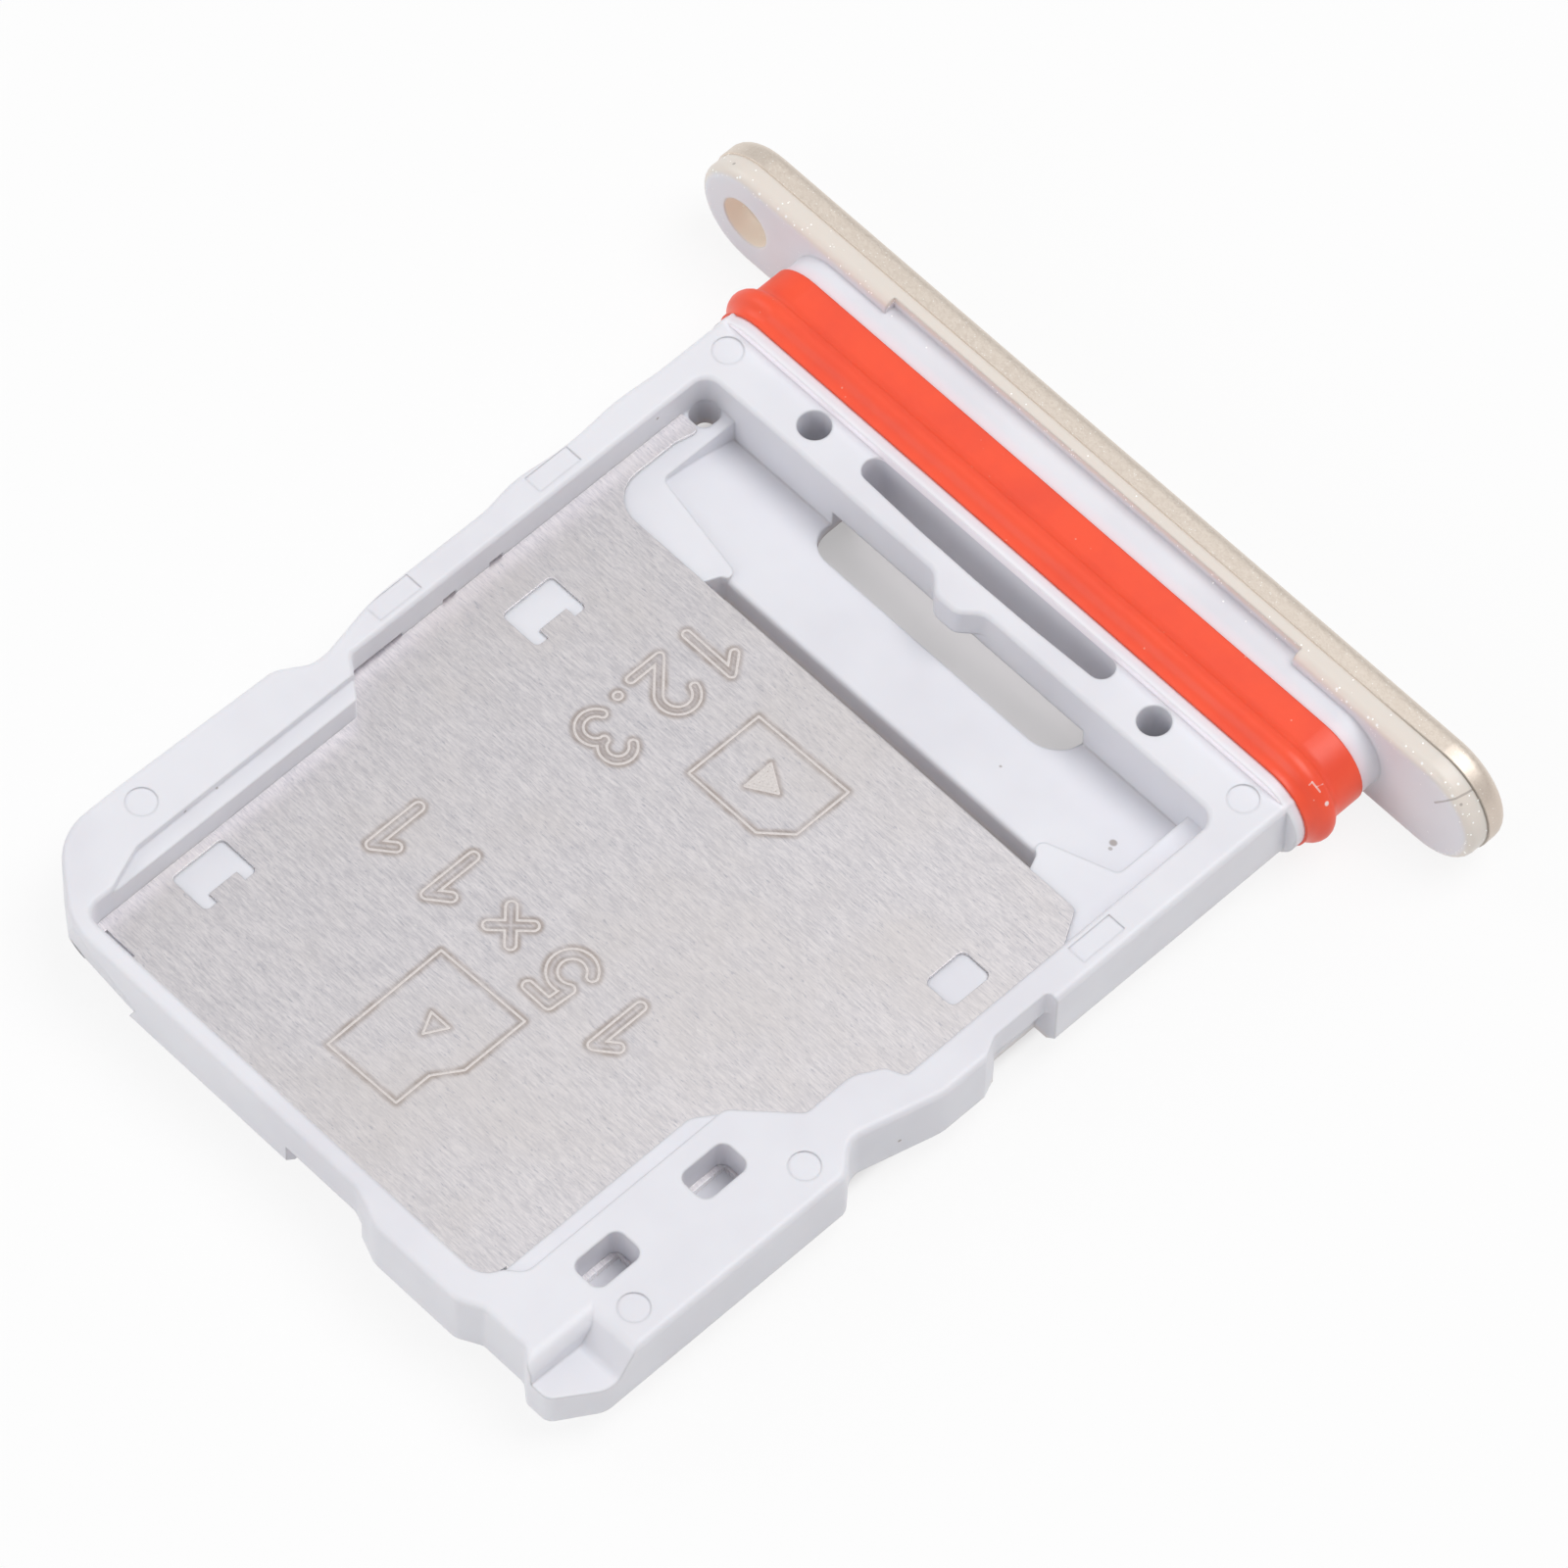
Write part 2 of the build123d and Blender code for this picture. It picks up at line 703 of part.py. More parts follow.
    add(steel_plate.part, mode=Mode.SUBTRACT)
    with BuildSketch(across(y_back, x_eject)):
        Circle(eject_diameter / 2)
    extrude(amount=shoulder_depth, mode=Mode.SUBTRACT)

os.makedirs("parts", exist_ok=True)
for piece, name in (
    (tray_frame, "tray_frame"),
    (steel_plate, "steel_plate"),
    (seal_ring, "seal_ring"),
    (end_cap, "end_cap"),
):
    piece.part.label = name
    export_step(piece.part, f"parts/{name}.step")
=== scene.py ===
"""Looks of a phone's card tray: moulded carrier, brushed steel plate, silicone seal and painted cap.

Lengths are metres in the frame's own axes: +X along the cap, +Y the way the tray is pulled out, +Z up.
"""
import logging
import math
from dataclasses import dataclass
from enum import Enum
from typing import Any, Dict, List, Optional, Sequence, Tuple, Union

import bpy
import numpy as np
from mathutils import Matrix, Vector
from mathutils.bvhtree import BVHTree


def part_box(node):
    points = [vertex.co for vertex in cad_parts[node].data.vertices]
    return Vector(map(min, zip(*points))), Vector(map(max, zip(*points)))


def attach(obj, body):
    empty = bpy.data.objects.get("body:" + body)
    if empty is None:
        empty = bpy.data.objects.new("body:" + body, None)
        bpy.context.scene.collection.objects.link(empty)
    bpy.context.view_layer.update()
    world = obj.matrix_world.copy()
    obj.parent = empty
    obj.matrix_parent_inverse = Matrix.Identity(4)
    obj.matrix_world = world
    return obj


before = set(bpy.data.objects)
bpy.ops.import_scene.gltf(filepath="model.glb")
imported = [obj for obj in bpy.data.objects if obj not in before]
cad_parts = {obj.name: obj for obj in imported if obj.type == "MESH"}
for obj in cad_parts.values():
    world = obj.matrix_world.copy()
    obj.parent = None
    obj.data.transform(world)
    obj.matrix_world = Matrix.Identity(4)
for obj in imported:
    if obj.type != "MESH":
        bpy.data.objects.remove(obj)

Colour = Tuple[float, float, float]
Point = Tuple[float, float]
Spot = Tuple[float, float, float]
Band = Tuple[Point, Point]
Number = Union[float, "Value"]
Inputs = Dict[Union[str, int], Any]
Socket = bpy.types.NodeSocket

LOG = logging.getLogger("card_tray")
MM = 0.001
LINE_ATTRIBUTE = "from_line"
BLACK: Colour = (0.0, 0.0, 0.0)
WHITE: Colour = (1.0, 1.0, 1.0)


def rgba(colour: Colour) -> Tuple[float, float, float, float]:
    """Returns an opaque four-part colour."""
    return (*colour, 1.0)


def mm(*lengths: float) -> Tuple[float, ...]:
    """Returns lengths given in millimetres in metres."""
    return tuple(length * MM for length in lengths)


class Value:
    """A number that varies over a surface; Python's operators add Math nodes to its graph."""

    def __init__(self, graph: "Graph", socket: Socket) -> None:
        """Wraps one output socket.

        Args:
            graph: The graph that the socket belongs to.
            socket: The output that gives the number.
        """
        self.graph = graph
        self.socket = socket

    def _math(self, operation: str, *numbers: Number) -> "Value":
        """Adds a Math node.

        Args:
            operation: Blender's name of the operation.
            numbers: The values of its sockets, in order.

        Returns:
            The node's result.
        """
        return self.graph.value("ShaderNodeMath", {"operation": operation}, dict(enumerate(numbers)))

    def __add__(self, other: Number) -> "Value":
        """Returns the sum."""
        return self._math("ADD", self, other)

    __radd__ = __add__

    def __sub__(self, other: Number) -> "Value":
        """Returns this less the other."""
        return self._math("SUBTRACT", self, other)

    def __rsub__(self, other: Number) -> "Value":
        """Returns the other less this."""
        return self._math("SUBTRACT", other, self)

    def __mul__(self, other: Number) -> "Value":
        """Returns the product."""
        return self._math("MULTIPLY", self, other)

    __rmul__ = __mul__

    def __pow__(self, other: Number) -> "Value":
        """Returns this raised to a power."""
        return self._math("POWER", self, other)

    def __abs__(self) -> "Value":
        """Returns the size without its sign."""
        return self._math("ABSOLUTE", self)

    def most(self, other: Number) -> "Value":
        """Returns the larger of the two."""
        return self._math("MAXIMUM", self, other)

    def least(self, other: Number) -> "Value":
        """Returns the smaller of the two."""
        return self._math("MINIMUM", self, other)

    def rise(self, low: float, high: float) -> "Value":
        """Returns a smooth step.

        Args:
            low: Where the step is still 0.
            high: Where it has reached 1; below low, the step falls instead.

        Returns:
            A value from 0 to 1.
        """
        inputs = {"Value": self, "From Min": min(low, high), "From Max": max(low, high)}
        if high < low:
            inputs.update({"To Min": 1.0, "To Max": 0.0})
        return self.graph.value("ShaderNodeMapRange", {"interpolation_type": "SMOOTHSTEP"}, inputs)

    def within(self, band: Band) -> "Value":
        """Returns 1 between a step up and a step down, which the band gives in that order."""
        return self.rise(*band[0]) * self.rise(*band[1])


@dataclass(frozen=True)
class Place:
    """A surface point's three coordinates in the frame, and the socket that gives them together."""

    x: Value
    y: Value
    z: Value
    together: Socket

    @property
    def graph(self) -> "Graph":
        """The graph that the coordinates belong to."""
        return self.x.graph


class Graph:
    """The nodes of one material, or of the world."""

    def __init__(self, owner: Union[bpy.types.Material, bpy.types.World]) -> None:
        """Empties the owner's nodes.

        Args:
            owner: The material or world that the nodes are for.
        """
        owner.use_nodes = True
        self.owner = owner
        self.tree = owner.node_tree
        self.tree.nodes.clear()

    @classmethod
    def of_material(cls, name: str) -> "Graph":
        """Starts a new material of that name."""
        return cls(bpy.data.materials.new(name))

    def node(
        self, kind: str, settings: Optional[Dict[str, Any]] = None, inputs: Optional[Inputs] = None
    ) -> bpy.types.Node:
        """Adds a node.

        Args:
            kind: The node's type.
            settings: Its properties, set first.
            inputs: Numbers, colours, Values or sockets for its inputs.

        Returns:
            The node.
        """
        made = self.tree.nodes.new(kind)
        for key, setting in (settings or {}).items():
            setattr(made, key, setting)
        for key, given in (inputs or {}).items():
            given = given.socket if isinstance(given, Value) else given
            if isinstance(given, Socket):
                self.tree.links.new(given, made.inputs[key])
            else:
                made.inputs[key].default_value = given
        return made

    def value(
        self,
        kind: str,
        settings: Optional[Dict[str, Any]] = None,
        inputs: Optional[Inputs] = None,
        output: Union[str, int] = 0,
    ) -> Value:
        """Adds a node and returns one output.

        Args:
            kind: The node's type.
            settings: As for node.
            inputs: As for node.
            output: The output's name or number.

        Returns:
            The output as a Value.
        """
        return Value(self, self.node(kind, settings, inputs).outputs[output])

    def vector(self, operation: str, inputs: Inputs) -> Socket:
        """Adds a Vector Math node that gives a vector."""
        return self.node("ShaderNodeVectorMath", {"operation": operation}, inputs).outputs[0]

    def length(self, operation: str, inputs: Inputs) -> Value:
        """Adds a Vector Math node that gives a number."""
        return self.value("ShaderNodeVectorMath", {"operation": operation}, inputs, "Value")

    def parts(self, vector: Socket) -> List[Value]:
        """Returns a vector's parts along X, Y and Z."""
        return [Value(self, part) for part in self.node("ShaderNodeSeparateXYZ", None, {0: vector}).outputs]

    def place(self) -> Place:
        """Returns where a surface point lies in the frame."""
        together = self.node("ShaderNodeTexCoord").outputs["Object"]
        return Place(*self.parts(together), together)

    def facing(self) -> List[Value]:
        """Returns the parts of the direction that the surface faces."""
        return self.parts(self.node("ShaderNodeNewGeometry").outputs["True Normal"])

    def stretched(self, place: Place, size: Union[float, Spot]) -> Socket:
        """Scales the coordinates for a pattern.

        Args:
            place: The coordinates.
            size: The pattern's size, or its sizes along the three axes.

        Returns:
            Coordinates in which the pattern has a size of 1.
        """
        sizes = size if isinstance(size, tuple) else (size,) * 3
        scale = tuple(1.0 / side for side in sizes)
        return self.vector("MULTIPLY", {0: place.together, 1: scale})

    def noise(
        self, place: Place, size: Union[float, Spot], detail: float = 2.0, roughness: float = 0.5
    ) -> Value:
        """Adds soft noise.

        Args:
            place: The coordinates.
            size: Its size, or its sizes along the three axes.
            detail: How many finer layers it has.
            roughness: How strong those layers are.

        Returns:
            A value from about 0 to 1.
        """
        vector = self.stretched(place, size)
        inputs = {"Vector": vector, "Scale": 1.0, "Detail": detail, "Roughness": roughness}
        return self.value("ShaderNodeTexNoise", None, inputs)

    def dots(self, place: Place, size: float) -> Tuple[Value, Value]:
        """Adds scattered points with one in each cell.

        Args:
            place: The coordinates.
            size: The cells' size.

        Returns:
            The distance to the nearest point, in cells, and a random number of that point.
        """
        inputs = {"Vector": self.stretched(place, size), "Scale": 1.0}
        cells = self.node("ShaderNodeTexVoronoi", None, inputs)
        chance = self.value("ShaderNodeSeparateColor", None, {0: cells.outputs["Color"]})
        return Value(self, cells.outputs["Distance"]), chance

    def mix(self, share: Number, first: Union[Colour, Socket], second: Union[Colour, Socket]) -> Socket:
        """Mixes two colours.

        Args:
            share: How much of the second shows.
            first: A colour or a colour socket.
            second: Another.

        Returns:
            The mixed colour's socket.
        """
        first, second = (rgba(part) if isinstance(part, tuple) else part for part in (first, second))
        inputs = {0: share, 6: first, 7: second}
        return self.node("ShaderNodeMix", {"data_type": "RGBA"}, inputs).outputs[2]

    def soft_edges(self, radius: float) -> Socket:
        """Returns a normal that rounds the edges over a radius."""
        return self.node("ShaderNodeBevel", {"samples": 8}, {"Radius": radius}).outputs[0]

    def bump(self, height: Value, depth: float, normal: Socket) -> Socket:
        """Adds fine relief.

        Args:
            height: The relief, from 0 to 1.
            depth: Its real depth.
            normal: The normal that it disturbs.

        Returns:
            The disturbed normal.
        """
        inputs = {"Strength": 1.0, "Distance": depth, "Height": height, "Normal": normal}
        return self.node("ShaderNodeBump", None, inputs).outputs[0]

    def surface(self, inputs: Inputs) -> bpy.types.Material:
        """Ends the graph in one principled surface and returns the material."""
        return self.end(self.node("ShaderNodeBsdfPrincipled", None, inputs).outputs[0])

    def end(self, shader: Socket) -> bpy.types.Material:
        """Links a shader to the material's output and returns the material."""
        self.node("ShaderNodeOutputMaterial", None, {"Surface": shader})
        return self.owner


@dataclass(frozen=True)
class CapOutline:
    """The cap's rounded outline across Y, and the seam between its front and the shoulder.

    Attributes:
        half_run: Half of the straight run.
        radius: The round ends' radius.
        z_mid: Height of the middle line.
        y_seam: Where the painted front meets the shoulder.
        seam_core: The share of the seam's reach over which it shows in full.
        seam_faint: How much of the seam's dark shows where it is whole.
        seam_worn: How much more of it shows where the seam is worn.
        seam_closed: How much less of the painted light in the seam shows there.
        worn_x: Where the wear starts and where it is full.
    """

    half_run: float
    radius: float
    z_mid: float
    y_seam: float
    seam_dark: Colour = (0.20, 0.175, 0.15)
    seam_core: float = 0.3
    seam_faint: float = 0.10
    seam_worn: float = 0.40
    seam_closed: float = 0.85
    worn_x: Point = mm(6, 9)

    @classmethod
    def from_frame(cls) -> "CapOutline":
        """Reads the outline off the end cap's box."""
        low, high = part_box("end_cap")
        radius = (high.z - low.z) / 2
        return cls((high.x - low.x) / 2 - radius, radius, (low.z + high.z) / 2, low.y)

    def from_middle(self, place: Place) -> Value:
        """Returns the distance from the outline's middle line."""
        along = (abs(place.x) - self.half_run).most(0.0)
        up = place.z - self.z_mid
        return (along * along + up * up) ** 0.5

    def draw_seam(
        self, place: Place, reach: float, colour: Socket, glow: Union[Colour, Socket], painted_seam_light: Colour
    ) -> Tuple[Socket, Socket]:
        """Draws the seam over a surface: its dark, and a painted light that lifts the shade in its groove.

        Args:
            place: The surface point.
            reach: How far along Y the seam shows; below 0, toward the shoulder.
            colour: The surface's colour.
            glow: The painted light that the surface already gives off.
            painted_seam_light: The painted light that lifts the shade in the seam's groove.

        Returns:
            The colour and the light with the seam in them.
        """
        seam = place.y.rise(self.y_seam + reach, self.y_seam + self.seam_core * reach)
        worn = place.x.rise(*self.worn_x)
        dark_share = seam * (self.seam_faint + self.seam_worn * worn)
        # Painted light in the seam's groove lifts its shade, less where the seam is worn open.
        painted_light_share = seam * (1.0 - self.seam_closed * worn)
        return place.graph.mix(dark_share, colour, self.seam_dark), place.graph.mix(painted_light_share, glow, painted_seam_light)


@dataclass(frozen=True)
class PhotoView:
    """The photograph's camera.

    Attributes:
        azimuth, elevation, roll: Its angles in degrees.
        target: The point that it looks at.
        distance: How far it is from that point.
        focal_px: Its focal length in pixels.
        frame_px: The square picture's side in pixels.
    """

    azimuth: float = 44.354
    elevation: float = 58.05
    roll: float = 1.86
    target: Spot = mm(0.51, 1.37, 1.24)
    distance: float = 216.4 * MM
    focal_px: float = 13012.0
    frame_px: float = 1600.0

    def axes(self) -> Tuple[Vector, Vector, Vector]:
        """Returns the directions to the picture's right, to its top and ahead."""
        turn, tilt, roll = (math.radians(angle) for angle in (self.azimuth, self.elevation, self.roll))
        ahead = Vector((-math.sin(turn) * math.cos(tilt), math.cos(turn) * math.cos(tilt), -math.sin(tilt)))
        level = Vector((math.cos(turn), math.sin(turn), 0.0))
        upright = level.cross(ahead)
        right = math.cos(roll) * level + math.sin(roll) * upright
        up = math.cos(roll) * upright - math.sin(roll) * level
        return right, up, ahead

    def eye(self) -> Vector:
        """Returns where the camera stands."""
        return Vector(self.target) - self.axes()[2] * self.distance

    def sight(self, pixel: Point) -> Vector:
        """Returns the direction in which the camera sees a pixel, counted from the top left corner."""
        right, up, ahead = self.axes()
        across, down = (part - self.frame_px / 2 for part in pixel)
        return (ahead * self.focal_px + right * across - up * down).normalized()


class SeenSurface:
    """A CAD node's surface, as the photograph's camera sees it."""

    def __init__(self, node: str, view: PhotoView) -> None:
        """Reads the surface off the frame, in millimetres.

        Args:
            node: The node's name.
            view: The camera.
        """
        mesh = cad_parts[node].data
        corners = [vertex.co / MM for vertex in mesh.vertices]
        self.tree = BVHTree.FromPolygons(corners, [face.vertices for face in mesh.polygons])
        self.view = view

    def behind(self, pixel: Point) -> Vector:
        """Finds the surface point that a pixel shows.

        Args:
            pixel: The pixel.

        Returns:
            The point in the frame; if the line of sight just misses the surface, the nearest point to it.
        """
        eye = self.view.eye() / MM
        sight = self.view.sight(pixel)
        spot = self.tree.ray_cast(eye, sight)[0]
        if spot is None:
            spot = self.tree.find_nearest(eye + sight * self.view.distance / MM)[0]
        return spot * MM


@dataclass(frozen=True)
class Speck:
    """A small round fleck of dirt or dust, or the painted glint of a paint flake.

    Attributes:
        pixel: Where the photograph shows its middle.
        radius: Where it has faded out.
        strength: How much of its colour shows in the middle.
        core: The share of its radius over which it shows in full.
    """

    pixel: Point
    radius: float
    strength: float
    core: float = 0.55

    def share(self, place: Place, surface: SeenSurface) -> Value:
        """Returns how much of the fleck shows at a surface point.

        Args:
            place: The surface point.
            surface: The surface that the fleck lies on.

        Returns:
            A value from 0 to its strength.
        """
        away = place.graph.length("DISTANCE", {0: place.together, 1: surface.behind(self.pixel)})
        return away.rise(self.radius, self.core * self.radius) * self.strength


@dataclass(frozen=True)
class Scratch:
    """A thin crack, or a fibre of lint.

    Attributes:
        pixels: Where the photograph shows points along its middle.
        half: Half of its width, where it has faded out.
        strength: How much of its colour shows in the middle.
        core: The share of its width over which it shows in full.
    """

    pixels: Tuple[Point, ...]
    half: float
    strength: float
    core: float = 0.5

    def share(self, place: Place, surface: SeenSurface) -> Value:
        """Returns how much of the scratch shows at a surface point.

        Args:
            place: The surface point.
            surface: The surface that the scratch lies on.

        Returns:
            A value from 0 to its strength.
        """
        spots = [surface.behind(pixel) for pixel in self.pixels]
        runs = [self._from_run(place, start, end) for start, end in zip(spots, spots[1:])]
        nearest = runs[0]
        for away in runs[1:]:
            nearest = nearest.least(away)
        return nearest.rise(self.half, self.core * self.half) * self.strength

    @staticmethod
    def _from_run(place: Place, start: Vector, end: Vector) -> Value:
        """Returns the distance from one straight run.

        Args:
            place: The surface point.
            start: The run's start.
            end: The run's end.

        Returns:
            The distance.
        """
        graph = place.graph
        run = end - start
        offset = graph.vector("SUBTRACT", {0: place.together, 1: start})
        along = graph.length("DOT_PRODUCT", {0: offset, 1: run / run.length_squared})
        nearest = graph.vector("SCALE", {0: run, "Scale": along.most(0.0).least(1.0)})
        return graph.length("DISTANCE", {0: offset, 1: nearest})


@dataclass(frozen=True)
class MouldedPlastic:
    """White moulded plastic, with the cap's paint sprayed over the shoulder.

    Attributes:
        outline: The cap's outline, which the paint follows.
        surface: The carrier's surface, which the marks lie on.
        well_x, well_y, well_z: Steps of the deep places inside the pocket, which get a painted warm shade.
        seal_band: Steps of the band that the seal's reflected light reddens, painted into the colour.
        lip_band, lip_rise: Steps of the lip behind the seal, which a painted glow lights as if light shone
            through it.
        lip_facing: How far its inner face is turned to -Y.
        lip_least: The share of that painted glow on its top and foot.
        rim: Steps of the shoulder's painted rim, from the cap's middle line.
        flake_size: Steps of a paint flake's painted glint, in cells.
        flake_chance: Above this, a cell has a flake with a painted glint.
        flake_rim, flake_worn: How much lower that is on the rim, and at the worn end.
    """

    outline: CapOutline
    surface: SeenSurface
    white: Colour = (0.80, 0.80, 0.845)
    shade: Colour = (0.74, 0.735, 0.785)
    paint: Colour = (0.785, 0.72, 0.66)
    painted_warm_shade: Colour = (0.87, 0.79, 0.75)
    hole_tan: Colour = (0.88, 0.785, 0.685)
    speck_dark: Colour = (0.30, 0.25, 0.23)
    flake_glint_white: Colour = (0.98, 0.97, 0.96)
    seal_light_tint: Colour = (0.90, 0.745, 0.795)
    seal_light_most: float = 0.75
    lip_painted_glow: Colour = (0.26, 0.215, 0.23)
    hole_painted_glow: Colour = (0.085, 0.075, 0.065)
    glint_painted_glow: Colour = (0.24, 0.23, 0.22)
    seam_painted_glow: Colour = (0.15, 0.13, 0.115)
    roughness: float = 0.42
    paint_smoother: float = 0.08
    uneven: float = 0.08
    depth_of_light: float = 0.32 * MM
    edge: float = 0.08 * MM
    grain: float = 0.05 * MM
    grain_depth: float = 0.0006 * MM
    cloud: float = 3.0 * MM
    cloud_steps: Point = (0.35, 0.75)
    paint_steps: Point = mm(0.98, 1.10)
    spray: float = 0.18 * MM
    spray_reach: float = 0.05 * MM
    shoulder_steps: Point = mm(-0.48, -0.40)
    seam_width: float = 0.026 * MM
    eject_x: float = -8.26 * MM
    eject_steps: Point = mm(0.57, 0.5415)
    well_x: Point = mm(7.0, 6.8)
    well_y: Band = (mm(-8.6, -8.4), mm(6.9, 6.8))
    well_z: Point = mm(0.72, 0.36)
    seal_band: Band = (mm(6.90, 7.10), mm(8.75, 8.48))
    lip_band: Band = (mm(6.77, 6.87), mm(6.99, 6.90))
    lip_rise: Point = mm(1.88, 1.93)
    lip_facing: Point = (-0.4, -0.8)
    lip_least: float = 0.36
    flake: float = 0.055 * MM
    flake_size: Point = (0.37, 0.20)
    flake_chance: float = 0.98
    flake_fade: float = 0.005
    flake_rim: float = 0.14
    flake_worn: float = 0.05
    rim: Band = (mm(0.98, 1.06), mm(1.19, 1.12))
    worn_end: Point = mm(8, 9)
    specks: Tuple[Speck, ...] = (
        Speck((1136, 860), 0.09 * MM, 0.75),
        Speck((1133, 866), 0.05 * MM, 0.6),
        Speck((1021, 782), 0.035 * MM, 0.6),
        Speck((918, 1164), 0.045 * MM, 0.75),
        Speck((189, 828), 0.04 * MM, 0.6),
        Speck((221, 804), 0.035 * MM, 0.6),
        Speck((749, 167), 0.04 * MM, 0.6),
        Speck((1491, 821), 0.035 * MM, 0.6),
        Speck((671, 427), 0.04 * MM, 0.7),
    )
    crack: Scratch = Scratch(
        ((1464, 819), (1471, 818), (1478, 816.5), (1485, 815), (1491, 812), (1497, 809), (1502, 806)),
        0.026 * MM,
        0.55,
    )
    glint_radius: float = 0.032 * MM
    glint_strength: float = 0.95
    left_glints: Tuple[Point, ...] = ((755, 181), (775, 198), (794, 213), (802, 221))
    right_glints: Tuple[Point, ...] = ((1364, 703), (1374, 716), (1396, 732), (1405, 740), (1451, 779))
    end_glints: Tuple[Point, ...] = ((1488, 800), (1482, 812))

    def material(self) -> bpy.types.Material:
        """Returns the finished material."""
        graph = Graph.of_material("white_plastic")
        place = graph.place()
        cloud = graph.noise(place, self.cloud, 3.0)
        middle = self.outline.from_middle(place)
        on_shoulder = place.y.rise(*(self.outline.y_seam + step for step in self.shoulder_steps))
        paint = self._painted(place, middle) * on_shoulder
        # Painted glints of the paint flakes, white in the colour and glowing.
        glint_share = self._flake_glints(place, middle) * on_shoulder
        hole = self._off_hole_axis(place).rise(*self.eject_steps) * on_shoulder
        colour = self._bare(place, cloud)
        colour = graph.mix(paint, colour, self.paint)
        colour = graph.mix(glint_share, colour, self.flake_glint_white)
        colour = graph.mix(hole, colour, self.hole_tan)
        # Painted glow of the lip, standing in for light shining through it.
        glow = graph.mix(self._lip_glow_share(place), BLACK, self.lip_painted_glow)
        # Painted glow in the eject hole, which lifts its shade; the tan is the hole's real paint.
        glow = graph.mix(hole, glow, self.hole_painted_glow)
        # Painted glow of the flakes' glints.
        glow = graph.mix(glint_share, glow, self.glint_painted_glow)
        # The seam's dark, and a painted light that lifts the shade in its groove.
        colour, glow = self.outline.draw_seam(place, -self.seam_width, colour, glow, self.seam_painted_glow)
        grain = graph.noise(place, self.grain)
        return graph.surface(
            {
                "Base Color": self._marked(place, colour),
                "Roughness": self.roughness - self.paint_smoother * paint + self.uneven * (cloud - 0.5),
                "Subsurface Weight": 0.22,
                "Subsurface Radius": (1.0, 0.76, 0.66),
                "Subsurface Scale": self.depth_of_light,
                "Emission Color": glow,
                "Emission Strength": 1.0,
                "Normal": graph.bump(grain, self.grain_depth, graph.soft_edges(self.edge)),
            }
        )

    def _bare(self, place: Place, cloud: Value) -> Socket:
        """Returns the bare plastic's colour, with the seal's painted reddish light and the painted warm shade
        of the deep places.

        Args:
            place: The surface point.
            cloud: The slow change of tone over the plastic.

        Returns:
            The colour's socket.
        """
        graph = place.graph
        colour = graph.mix(cloud.rise(*self.cloud_steps), self.white, self.shade)
        # Painted reddish light from the orange seal on the neck and the cap's back face.
        colour = graph.mix(self.seal_light_most * place.y.within(self.seal_band), colour, self.seal_light_tint)
        # Painted warm shade in the deep places inside the pocket.
        deep = place.z.rise(*self.well_z) * abs(place.x).rise(*self.well_x) * place.y.within(self.well_y)
        return graph.mix(deep, colour, self.painted_warm_shade)

    def _lip_glow_share(self, place: Place) -> Value:
        """Returns how much painted glow, standing in for light shining through the lip, shows at a surface
        point.
        """
        inward = place.graph.facing()[1].rise(*self.lip_facing)
        lip = place.y.within(self.lip_band) * place.z.rise(*self.lip_rise)
        return lip * (self.lip_least + (1.0 - self.lip_least) * inward)

    def _painted(self, place: Place, middle: Value) -> Value:
        """Returns how much paint reached a surface point.

        Args:
            place: The surface point.
            middle: Its distance from the cap's middle line.

        Returns:
            A value from 0 to 1.
        """
        spray = place.graph.noise(place, self.spray, 3.0) - 0.5
        return (middle + spray * self.spray_reach).rise(*self.paint_steps)

    def _flake_glints(self, place: Place, middle: Value) -> Value:
        """Adds the painted glints of paint flakes, thickest along the shoulder's rim.

        Args:
            place: The surface point.
            middle: Its distance from the cap's middle line.

        Returns:
            How much of a flake's painted glint shows.
        """
        near, chance = place.graph.dots(place, self.flake)
        rare = self.flake_chance - self.flake_rim * middle.within(self.rim)
        rare = rare - self.flake_worn * place.x.rise(*self.worn_end)
        return near.rise(*self.flake_size) * (chance - rare).rise(0.0, self.flake_fade)

    def _off_hole_axis(self, place: Place) -> Value:
        """Returns the distance from the eject hole's axis."""
        return ((place.x - self.eject_x) ** 2.0 + (place.z - self.outline.z_mid) ** 2.0) ** 0.5

    def _marked(self, place: Place, colour: Socket) -> Socket:
        """Adds dirt, the crack and the painted glints of the largest flakes.

        Args:
            place: The surface point.
            colour: The clean colour.

        Returns:
            The colour with the marks on it.
        """
        for mark in (*self.specks, self.crack):
            colour = place.graph.mix(mark.share(place, self.surface), colour, self.speck_dark)
        # Painted glints of the largest flakes, as white spots.
        for pixel in self.left_glints + self.right_glints + self.end_glints:
            glint_spot = Speck(pixel, self.glint_radius, self.glint_strength)
            colour = place.graph.mix(glint_spot.share(place, self.surface), colour, self.flake_glint_white)
        return colour


